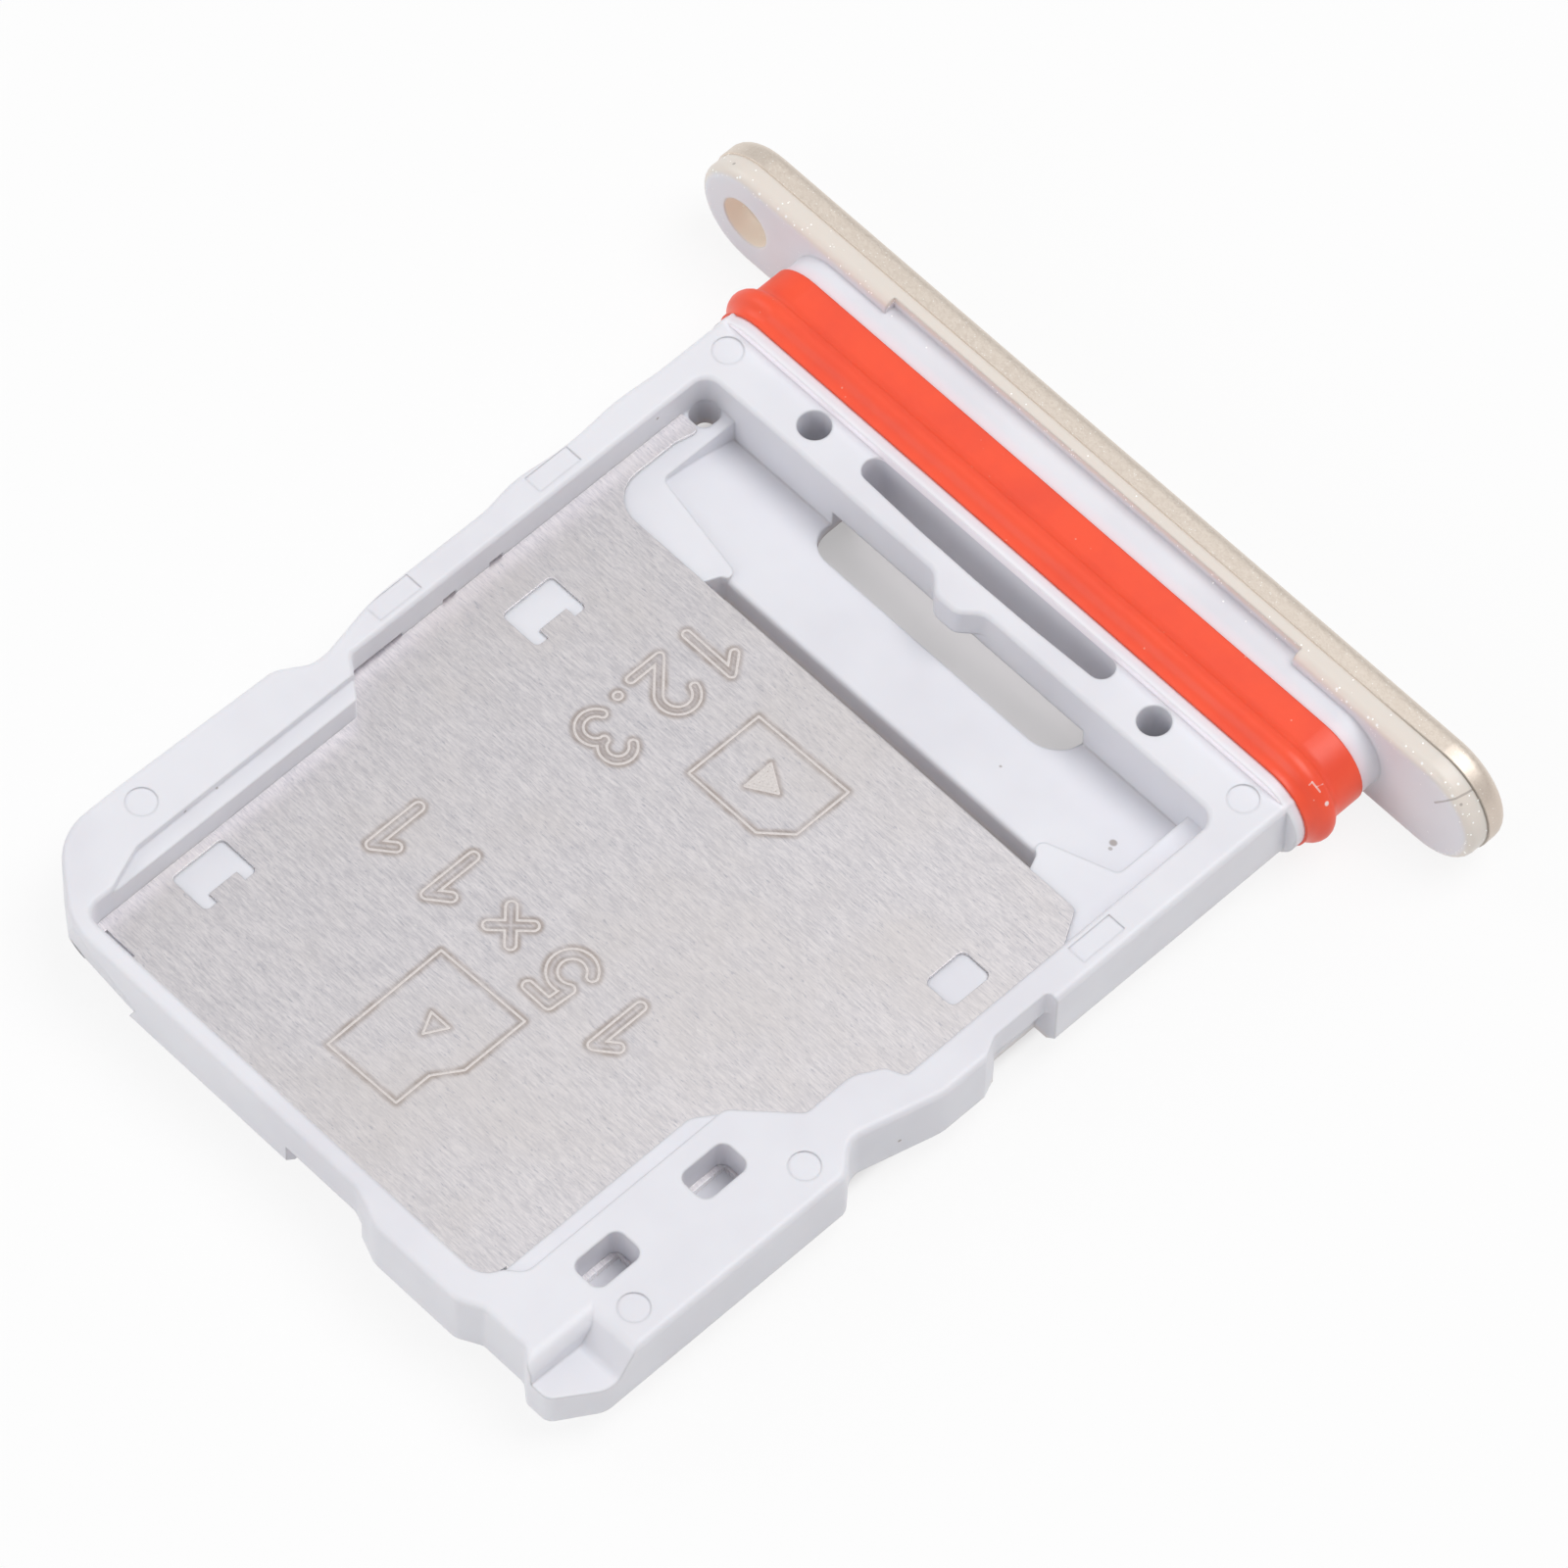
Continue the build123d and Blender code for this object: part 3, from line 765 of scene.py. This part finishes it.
@dataclass(frozen=True)
class BrushedSteel:
    """Thin stainless sheet with the fine streaks of rolling along X.

    Attributes:
        streak, fleck, pit: Sizes of the three patterns along the axes.
        streak_share: How much of the tone the streaks give; the flecks give the rest.
        tone_steps: Tones of the dark and the light colour.
        pit_steps, glint_steps: Where the pits and the painted glints start and are full.
        cut_glint_steps: Upright parts of the facing at which the painted glint of a cut edge starts and is
            full.
    """

    light: Colour = (0.875, 0.84, 0.855)
    dark: Colour = (0.655, 0.635, 0.67)
    warm: Colour = (0.78, 0.735, 0.72)
    blue: Colour = (0.47, 0.47, 0.53)
    glint: Colour = (0.95, 0.93, 0.925)
    streak: Spot = mm(0.32, 0.035, 0.5)
    fleck: Spot = mm(0.10, 0.022, 0.5)
    pit: Spot = mm(0.17, 0.032, 0.5)
    streak_share: float = 0.65
    tone_steps: Point = (0.30, 0.68)
    cloud: float = 2.4 * MM
    cloud_steps: Point = (0.40, 0.75)
    warm_most: float = 0.5
    pit_steps: Point = (0.60, 0.70)
    pit_most: float = 0.55
    glint_steps: Point = (0.36, 0.27)
    glint_most: float = 0.6
    cut_glint_steps: Point = (0.6, 0.3)
    cut_glint_most: float = 0.8
    roughness: float = 0.40
    uneven: float = 0.16
    edge_smoother: float = 0.12
    relief: float = 0.0010 * MM
    edge: float = 0.012 * MM

    def material(self) -> bpy.types.Material:
        """Returns the finished material."""
        graph = Graph.of_material("steel")
        place = graph.place()
        streak = graph.noise(place, self.streak, 4.0, 0.62)
        fleck = graph.noise(place, self.fleck)
        cloud = graph.noise(place, self.cloud, 3.0)
        pit = graph.noise(place, self.pit, 3.0, 0.6)
        tone = streak * self.streak_share + fleck * (1.0 - self.streak_share)
        cut_edge_glint = abs(graph.facing()[2]).rise(*self.cut_glint_steps)
        colour = graph.mix(tone.rise(*self.tone_steps), self.dark, self.light)
        colour = graph.mix(cloud.rise(*self.cloud_steps) * self.warm_most, colour, self.warm)
        colour = graph.mix(pit.rise(*self.pit_steps) * self.pit_most, colour, self.blue)
        # Painted glints at random over the steel.
        colour = graph.mix(pit.rise(*self.glint_steps) * self.glint_most, colour, self.glint)
        # Painted glints on the cut edges, which face sideways.
        colour = graph.mix(cut_edge_glint * self.cut_glint_most, colour, self.glint)
        return graph.surface(
            {
                "Base Color": colour,
                "Metallic": 1.0,
                "Roughness": self.roughness + self.uneven * (tone - 0.5) - self.edge_smoother * cut_edge_glint,
                "Normal": graph.bump(tone, self.relief, graph.soft_edges(self.edge)),
            }
        )


@dataclass(frozen=True)
class Silicone:
    """Orange silicone rubber with a little pale dust on it.

    Attributes:
        surface: The ring's surface, which the lint lies on.
        speck: The size of the cells that the dust lies in.
        speck_size: Steps of a speck of dust, in cells.
        speck_chance: Above this, a cell has a speck.
        skin: The size of the rubber's fine relief.
        lint: Larger dust and fibres, caught on the bead.
    """

    surface: SeenSurface
    orange: Colour = (0.97, 0.095, 0.037)
    deep: Colour = (0.88, 0.080, 0.035)
    dust: Colour = (0.95, 0.42, 0.33)
    lint_white: Colour = (0.93, 0.86, 0.82)
    cloud: float = 1.1 * MM
    cloud_steps: Point = (0.35, 0.8)
    speck: float = 0.16 * MM
    speck_size: Point = (0.14, 0.06)
    speck_chance: float = 0.90
    speck_fade: float = 0.02
    dust_most: float = 0.75
    roughness: float = 0.40
    uneven: float = 0.12
    skin: float = 0.10 * MM
    skin_depth: float = 0.0015 * MM
    edge: float = 0.05 * MM
    depth_of_light: float = 0.30 * MM
    lint: Tuple[Union[Speck, Scratch], ...] = (
        Speck((1354, 820), 0.055 * MM, 0.85),
        Scratch(((1339, 798), (1343, 803), (1347, 808)), 0.022 * MM, 0.5),
        Scratch(((1336, 801), (1339, 798)), 0.017 * MM, 0.4),
        Scratch(((1343, 803), (1350, 800)), 0.016 * MM, 0.4),
    )

    def material(self) -> bpy.types.Material:
        """Returns the finished material."""
        graph = Graph.of_material("orange_silicone")
        place = graph.place()
        cloud = graph.noise(place, self.cloud, 3.0)
        near, chance = graph.dots(place, self.speck)
        speck = near.rise(*self.speck_size) * (chance - self.speck_chance).rise(0.0, self.speck_fade)
        colour = graph.mix(cloud.rise(*self.cloud_steps), self.orange, self.deep)
        colour = graph.mix(speck * self.dust_most, colour, self.dust)
        for fleck in self.lint:
            colour = graph.mix(fleck.share(place, self.surface), colour, self.lint_white)
        skin = graph.noise(place, self.skin, 3.0)
        return graph.surface(
            {
                "Base Color": colour,
                "Roughness": self.roughness + self.uneven * (cloud - 0.5),
                "Subsurface Weight": 0.15,
                "Subsurface Radius": (1.0, 0.25, 0.12),
                "Subsurface Scale": self.depth_of_light,
                "Normal": graph.bump(skin, self.skin_depth, graph.soft_edges(self.edge)),
            }
        )


@dataclass(frozen=True)
class FlakePaint:
    """Champagne paint with fine metal flakes.

    Attributes:
        outline: The cap's outline and seam.
        painted_end_shade: The painted shade that darkens the paint where it faces +X.
        end_shade_steps: How far it is turned there.
        glint_size: Steps of a flake's painted glint, in cells.
        glint_chance: Above this, a flake has a painted glint.
    """

    outline: CapOutline
    champagne: Colour = (0.74, 0.645, 0.555)
    pale: Colour = (0.80, 0.715, 0.63)
    painted_end_shade: Colour = (0.56, 0.43, 0.36)
    end_shade_steps: Point = (0.25, 0.85)
    end_shade_most: float = 0.28
    glint: Colour = (0.97, 0.95, 0.92)
    glint_size: Point = (0.4, 0.2)
    glint_chance: float = 0.94
    glint_fade: float = 0.01
    seam_painted_glow: Colour = (0.13, 0.115, 0.10)
    seam_width: float = 0.02 * MM
    flake: float = 0.03 * MM
    flake_depth: float = 0.0012 * MM
    edge: float = 0.05 * MM
    roughness: float = 0.44
    uneven: float = 0.14

    def material(self) -> bpy.types.Material:
        """Returns the finished material."""
        graph = Graph.of_material("champagne_paint")
        place = graph.place()
        near, chance = graph.dots(place, self.flake)
        # Painted shade: the paint darkens where it faces +X, at the cap's end.
        end_facing = graph.facing()[0].rise(*self.end_shade_steps)
        # Painted glints on a few flakes.
        glint = near.rise(*self.glint_size) * (chance - self.glint_chance).rise(0.0, self.glint_fade)
        colour = graph.mix(chance, self.champagne, self.pale)
        colour = graph.mix(self.end_shade_most * end_facing, colour, self.painted_end_shade)
        colour = graph.mix(glint, colour, self.glint)
        # The seam's dark, and a painted light that lifts the shade in its groove.
        colour, glow = self.outline.draw_seam(place, self.seam_width, colour, BLACK, self.seam_painted_glow)
        return graph.surface(
            {
                "Base Color": colour,
                "Metallic": 0.55,
                "Roughness": self.roughness + self.uneven * (chance - 0.5),
                "Coat Weight": 0.12,
                "Coat Roughness": 0.30,
                "Emission Color": glow,
                "Emission Strength": 1.0,
                "Normal": graph.bump(chance, self.flake_depth, graph.soft_edges(self.edge)),
            }
        )


@dataclass(frozen=True)
class LaserLine:
    """A laser-marked line: a bright core with a brown burnt edge that fades into the steel.

    Attributes:
        reach: How far from the line's middle the burn shows.
        core_half: Half of the bright core's width.
        core_steps: In halves of the core, where it starts to fade and where it has gone.
        burn_steps: Where the burn has faded out, in reaches, and where it is full, in halves of the core.
        burn_fall: How fast the burn fades.
        patch_steps: Steps of the patches of stronger burn.
        patch_least: The share of the burn between those patches.
        core_least, core_more: How much of the core shows, and how much its grain adds.
    """

    reach: float = 0.16 * MM
    core: Colour = (0.86, 0.81, 0.785)
    burn: Colour = (0.42, 0.33, 0.27)
    core_half: float = 0.022 * MM
    core_steps: Spot = (0.8, 1.0, 1.5)
    core_least: float = 0.50
    core_more: float = 0.40
    burn_most: float = 0.42
    burn_steps: Point = (0.95, 1.6)
    burn_fall: float = 1.6
    grain: float = 0.05 * MM
    grain_reach: float = 0.012 * MM
    patch: float = 0.35 * MM
    patch_steps: Point = (0.25, 0.70)
    patch_least: float = 0.35
    roughness: float = 0.45
    uneven: float = 0.1

    def material(self) -> bpy.types.Material:
        """Returns the finished material."""
        graph = Graph.of_material("laser_line")
        place = graph.place()
        away = graph.value("ShaderNodeAttribute", {"attribute_name": LINE_ATTRIBUTE}, None, "Fac")
        grain = graph.noise(place, self.grain)
        edge = away + (grain - 0.5) * self.grain_reach
        inner, full, outer = (step * self.core_half for step in self.core_steps)
        patchy = graph.noise(place, self.patch).rise(*self.patch_steps)
        burnt = edge.rise(self.burn_steps[0] * self.reach, self.burn_steps[1] * self.core_half)
        halo = burnt ** self.burn_fall * (self.patch_least + (1.0 - self.patch_least) * patchy)
        bright = edge.rise(outer, full) * (self.core_least + self.core_more * grain)
        return graph.surface(
            {
                "Base Color": graph.mix(edge.rise(inner, outer), self.core, self.burn),
                "Metallic": 0.35,
                "Roughness": self.roughness + self.uneven * grain,
                "Alpha": bright.most(halo * self.burn_most),
            }
        )


@dataclass(frozen=True)
class StudioFloor:
    """A white floor that keeps a faint shadow, with a painted grey shade beneath the tray.

    Attributes:
        under_half: Half of the sides of the painted shade beneath the tray.
        under_fade: How wide its edge is.
        under_dim: How much less of the clean white shows on it.
        clean: How much of a clean white the camera and reflections see.
    """

    white: Colour = (0.85, 0.85, 0.85)
    shade: Colour = (0.83725, 0.83725, 0.83725)
    cloud: float = 60 * MM
    painted_shade_under_tray: Colour = (0.70, 0.66, 0.675)
    under_half: Point = mm(6.6, 8.4)
    under_fade: float = 0.5 * MM
    under_dim: float = 0.55
    clean: float = 0.86

    def material(self) -> bpy.types.Material:
        """Returns the finished material."""
        graph = Graph.of_material("studio_floor")
        place = graph.place()
        inside = (self.under_half[0] - abs(place.x)).least(self.under_half[1] - abs(place.y))
        inside = inside.rise(0.0, self.under_fade)
        colour = graph.mix(graph.noise(place, self.cloud), self.white, self.shade)
        # Painted grey shade on the floor beneath the tray.
        colour = graph.mix(inside, colour, self.painted_shade_under_tray)
        matt = graph.node("ShaderNodeBsdfDiffuse", None, {"Color": colour}).outputs[0]
        glow = graph.node("ShaderNodeEmission", None, {"Color": rgba(WHITE), "Strength": 1.0}).outputs[0]
        path = graph.node("ShaderNodeLightPath")
        seen = Value(graph, path.outputs["Is Camera Ray"])
        for ray in ("Is Glossy Ray", "Is Transmission Ray"):
            seen = seen.most(Value(graph, path.outputs[ray]))
        glowing = seen * self.clean * (1.0 - self.under_dim * inside)
        return graph.end(graph.node("ShaderNodeMixShader", None, {0: glowing, 1: matt, 2: glow}).outputs[0])


def dress(node: str, material: bpy.types.Material) -> None:
    """Gives a CAD node its finish.

    Args:
        node: The node's name.
        material: The finish for all its slots.
    """
    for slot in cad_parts[node].material_slots:
        slot.material = material
    LOG.info("dressed %s", node)


def add_mesh(name: str, mesh: bpy.types.Mesh) -> bpy.types.Object:
    """Adds a piece that rides on the tray.

    Args:
        name: The piece's name.
        mesh: Its mesh, in the frame.

    Returns:
        The new object.
    """
    piece = bpy.data.objects.new(name, mesh)
    bpy.context.scene.collection.objects.link(piece)
    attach(piece, "root")
    LOG.info("added %s, %d faces", name, len(mesh.polygons))
    return piece


def arc(centre: Point, radius: float, start: float, end: float) -> List[Point]:
    """Returns points along an arc.

    Args:
        centre: The arc's centre.
        radius: Its radius.
        start: The first angle, in degrees.
        end: The last angle, in degrees.

    Returns:
        The points, first to last, about nine degrees apart.
    """
    steps = max(3, round(abs(end - start) / 9))
    angles = [math.radians(start + (end - start) * i / steps) for i in range(steps + 1)]
    return [(centre[0] + radius * math.cos(a), centre[1] + radius * math.sin(a)) for a in angles]


def distance_to(points: np.ndarray, start: np.ndarray, end: np.ndarray) -> np.ndarray:
    """Returns the distance of each point from a straight line.

    Args:
        points: The points, one a row.
        start: The line's start.
        end: The line's end.

    Returns:
        One distance a point.
    """
    run = end - start
    share = np.clip((points - start) @ run / (run @ run), 0.0, 1.0)
    return np.linalg.norm(points - start - share[:, None] * run, axis=1)


class Sign(Enum):
    """Plain signs that the laser writes, one unit tall."""

    ONE = "1"
    TWO = "2"
    THREE = "3"
    FIVE = "5"
    POINT = "."
    TIMES = "x"

    def strokes(self) -> List[List[Point]]:
        """Returns the middle lines of the sign's strokes."""
        if self is Sign.ONE:
            return [[(0.10, 0.76), (0.40, 1.0), (0.40, 0.0)]]
        if self is Sign.TWO:
            return [arc((0.34, 0.70), 0.30, 165, -38) + [(0.06, 0.0), (0.68, 0.0)]]
        if self is Sign.THREE:
            return [arc((0.33, 0.755), 0.245, 150, -75) + arc((0.33, 0.27), 0.27, 75, -155)]
        if self is Sign.FIVE:
            return [[(0.62, 1.0), (0.16, 1.0)] + arc((0.33, 0.325), 0.325, 128, -150)]
        if self is Sign.POINT:
            return [[(0.10, 0.08), (0.11, 0.08)]]
        return [[(0.09, 0.19), (0.59, 0.69)], [(0.09, 0.69), (0.59, 0.19)]]

    def advance(self) -> float:
        """Returns the share of the pitch that the sign takes up."""
        return 0.45 if self is Sign.POINT else 1.0


@dataclass(frozen=True)
class Mark:
    """One shape that the laser drew.

    Attributes:
        lines: The shape's middle lines.
        half: How far to either side of them the laser ran; 0 if it ran along them.
    """

    lines: List[List[Point]]
    half: float = 0.0

    def from_line(self, points: np.ndarray) -> np.ndarray:
        """Returns each point's distance from where the laser ran."""
        nearest = np.full(len(points), np.inf)
        for line in self.lines:
            for start, end in zip(line, line[1:]):
                nearest = np.minimum(nearest, distance_to(points, np.array(start), np.array(end)))
        return np.abs(nearest - self.half)


@dataclass(frozen=True)
class Label:
    """A line of signs on the steel, read along one direction.

    Attributes:
        text: The signs.
        corner: Where the line starts, at its foot.
        along: The reading direction.
        up: The direction of the signs' tops.
        height: The signs' height.
        pitch: From one sign to the next.
        half_stroke: Half of a stroke's width.
    """

    text: str
    corner: Point
    along: Point
    up: Point
    height: float
    pitch: float
    half_stroke: float

    def marks(self) -> List[Mark]:
        """Returns a mark for every sign of the line, in the frame."""
        found = []
        run = 0.0
        for sign in map(Sign, self.text):
            found.append(Mark([self._placed(stroke, run) for stroke in sign.strokes()], self.half_stroke))
            run += self.pitch * sign.advance()
        return found

    def _placed(self, points: List[Point], run: float) -> List[Point]:
        """Moves points from the line's own axes to the frame.

        Args:
            points: Points along and up the line, in sign heights.
            run: How far along the line they start.

        Returns:
            The points in the frame.
        """
        tall = self.height
        return [
            tuple(self.corner[i] + (x * tall + run) * self.along[i] + y * tall * self.up[i] for i in range(2))
            for x, y in points
        ]


@dataclass
class Plate:
    """The steel plate and the marks that a laser drew on it.

    Attributes:
        cell: The marks' mesh size.
        lift: How far the marks lie above the plate.
        ridge: How high the laser raised the steel along a line.
        ridge_half: Where that ridge has fallen to about a third.
        arrow_fill: Sizes of the lines that fill the arrow.
    """

    cell: float = 0.02 * MM
    lift: float = 0.002 * MM
    ridge: float = 0.006 * MM
    ridge_half: float = 0.03 * MM
    line: LaserLine = LaserLine()
    nano_card: Tuple[Point, ...] = (
        mm(-0.76, 2.00),
        mm(1.38, 2.05),
        mm(1.38, 0.82),
        mm(0.88, 0.35),
        mm(-0.76, 0.34),
    )
    nano_arrow: Tuple[Point, ...] = (mm(0.06, 1.50), mm(0.59, 1.17), mm(0.08, 0.85))
    arrow_fill: Tuple[float, ...] = (1.0, 0.72, 0.44, 0.16)
    memory_card: Tuple[Point, ...] = (
        mm(-1.09, -5.11),
        mm(0.89, -5.05),
        mm(0.89, -6.43),
        mm(0.56, -6.93),
        mm(0.56, -7.70),
        mm(-1.06, -7.75),
    )
    memory_arrow: Tuple[Point, ...] = (mm(-0.32, -6.06), mm(0.11, -6.06), mm(-0.11, -6.46))
    nano_size: Label = Label("12.3", mm(-2.80, 2.70), (0, -1), (1, 0), *mm(1.10, 1.02, 0.078))
    memory_size: Label = Label("15x11", mm(2.45, -3.45), (-1, 0), (0, -1), *mm(1.08, 1.36, 0.10))

    def build(self) -> None:
        """Dresses the plate and adds its marks."""
        dress("steel_plate", BrushedSteel().material())
        finish = self.line.material()
        marks = {
            "laser_card_icon": self._card_icon(),
            "laser_memory_icon": [self._closed(self.memory_card), self._closed(self.memory_arrow)],
            "laser_slot_numerals": self.nano_size.marks(),
            "laser_memory_numerals": self.memory_size.marks(),
        }
        for name, drawn in marks.items():
            self._mark(name, drawn).data.materials.append(finish)

    def _card_icon(self) -> List[Mark]:
        """Returns the outline of a nano card with a filled arrow in it."""
        middle = [sum(part) / len(self.nano_arrow) for part in zip(*self.nano_arrow)]
        rings = [
            [tuple(m + share * (p - m) for p, m in zip(point, middle)) for point in self.nano_arrow]
            for share in self.arrow_fill
        ]
        return [self._closed(shape) for shape in (self.nano_card, *rings)]

    @staticmethod
    def _closed(shape: Sequence[Point]) -> Mark:
        """Returns a mark along a closed line."""
        return Mark([[*shape, shape[0]]])

    def _mark(self, name: str, drawn: List[Mark]) -> bpy.types.Object:
        """Adds the sheet of raised and burnt steel along some marks.

        Args:
            name: The piece's name.
            drawn: The marks.

        Returns:
            The new piece.
        """
        reach = self.line.reach
        margin = reach + max(mark.half for mark in drawn)
        corners = np.array([point for mark in drawn for line in mark.lines for point in line])
        low = corners.min(0) - margin
        high = corners.max(0) + margin
        counts = np.ceil((high - low) / self.cell).astype(int) + 1
        grid = np.stack(np.meshgrid(*(np.arange(count) for count in counts), indexing="ij"), -1)
        points = low + grid.reshape(-1, 2) * self.cell
        away = np.min([mark.from_line(points) for mark in drawn], axis=0)
        numbers = np.arange(len(points)).reshape(counts)
        round_cell = (numbers[:-1, :-1], numbers[1:, :-1], numbers[1:, 1:], numbers[:-1, 1:])
        quads = np.stack(round_cell, -1).reshape(-1, 4)
        quads = quads[away[quads].min(1) < reach]
        used, faces = np.unique(quads, return_inverse=True)
        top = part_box("steel_plate")[1].z + self.lift
        heights = top + self.ridge * np.exp(-((away[used] / self.ridge_half) ** 2))
        vertices = np.column_stack([points[used], heights])
        mesh = bpy.data.meshes.new(name)
        mesh.from_pydata(vertices.tolist(), [], faces.reshape(-1, 4).tolist())
        kept = mesh.attributes.new(LINE_ATTRIBUTE, "FLOAT", "POINT")
        kept.data.foreach_set("value", away[used].astype(np.float32))
        mesh.shade_smooth()
        return add_mesh(name, mesh)


@dataclass
class Carrier:
    """The white moulding that everything else sits in."""

    outline: CapOutline
    view: PhotoView

    def build(self) -> None:
        """Dresses the carrier."""
        surface = SeenSurface("tray_frame", self.view)
        dress("tray_frame", MouldedPlastic(self.outline, surface).material())


@dataclass
class Seal:
    """The orange ring in its groove."""

    view: PhotoView

    def build(self) -> None:
        """Dresses the ring."""
        dress("seal_ring", Silicone(SeenSurface("seal_ring", self.view)).material())


@dataclass
class Cap:
    """The painted front of the cap."""

    outline: CapOutline

    def build(self) -> None:
        """Dresses the cap."""
        dress("end_cap", FlakePaint(self.outline).material())


@dataclass(frozen=True)
class Softbox:
    """A square soft light that faces the tray.

    Attributes:
        name: The light's name.
        place: Where it hangs.
        side: Its width.
        power: Its strength in watts.
    """

    name: str
    place: Spot
    side: float
    power: float

    def build(self) -> None:
        """Hangs the light."""
        light = bpy.data.lights.new(self.name, "AREA")
        light.size = self.side
        light.energy = self.power
        lamp = bpy.data.objects.new(self.name, light)
        lamp.location = self.place
        lamp.rotation_euler = (-Vector(self.place)).to_track_quat("-Z", "Y").to_euler()
        bpy.context.scene.collection.objects.link(lamp)


@dataclass
class Studio:
    """Floor, soft light and the camera.

    Attributes:
        view: The photograph's camera, which the camera follows.
        floor_half: Half of the floor's side.
        floor_level: The floor's height, just clear of the tray.
        sky: The even light from all sides.
    """

    view: PhotoView
    sensor_width: float = 36.0
    clip_start: float = 5 * MM
    floor_half: float = 1.5
    floor_level: float = -0.002 * MM
    sky: float = 0.42
    softboxes: Tuple[Softbox, ...] = (
        Softbox("key_softbox", (0.10, 0.16, 0.42), 0.30, 1.17),
        Softbox("side_softbox", (-0.36, -0.10, 0.26), 0.26, 0.30),
        Softbox("front_softbox", (-0.06, -0.38, 0.22), 0.24, 0.40),
    )

    def build(self) -> None:
        """Adds the floor, the world, the lights and the camera."""
        bpy.context.scene.view_settings.view_transform = "Standard"
        self._floor()
        self._world()
        for softbox in self.softboxes:
            softbox.build()
        self._camera()

    def _floor(self) -> None:
        """Adds the floor."""
        half = self.floor_half
        level = self.floor_level
        mesh = bpy.data.meshes.new("floor")
        corners = [(-half, -half, level), (half, -half, level), (half, half, level), (-half, half, level)]
        mesh.from_pydata(corners, [], [(0, 1, 2, 3)])
        mesh.materials.append(StudioFloor().material())
        floor = bpy.data.objects.new("floor", mesh)
        bpy.context.scene.collection.objects.link(floor)

    def _world(self) -> None:
        """Sets an even white sky that the camera sees as plain white."""
        graph = Graph(bpy.data.worlds.new("studio"))
        bpy.context.scene.world = graph.owner
        seen = graph.node("ShaderNodeLightPath").outputs["Is Camera Ray"]
        strength = graph.value("ShaderNodeMapRange", None, {"Value": seen, "To Min": self.sky, "To Max": 1.0})
        sky = graph.node("ShaderNodeBackground", None, {"Color": rgba(WHITE), "Strength": strength})
        graph.node("ShaderNodeOutputWorld", None, {"Surface": sky.outputs[0]})

    def _camera(self) -> None:
        """Adds the camera at the photograph's angle."""
        right, up, ahead = self.view.axes()
        lens = bpy.data.cameras.new("camera")
        lens.sensor_width = self.sensor_width
        lens.lens = self.sensor_width * self.view.focal_px / self.view.frame_px
        lens.clip_start = self.clip_start
        camera = bpy.data.objects.new("camera", lens)
        turned = Matrix((right, up, -ahead)).transposed().to_4x4()
        camera.matrix_world = Matrix.Translation(self.view.eye()) @ turned
        bpy.context.scene.collection.objects.link(camera)
        bpy.context.scene.camera = camera


def main() -> None:
    """Builds the looks in order."""
    logging.basicConfig(level=logging.INFO, format="%(name)s: %(message)s")
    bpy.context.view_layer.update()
    outline = CapOutline.from_frame()
    view = PhotoView()
    for part in (Carrier(outline, view), Plate(), Seal(view), Cap(outline), Studio(view)):
        part.build()
        LOG.info("finished %s", type(part).__name__)


if __name__ == "__main__":
    main()
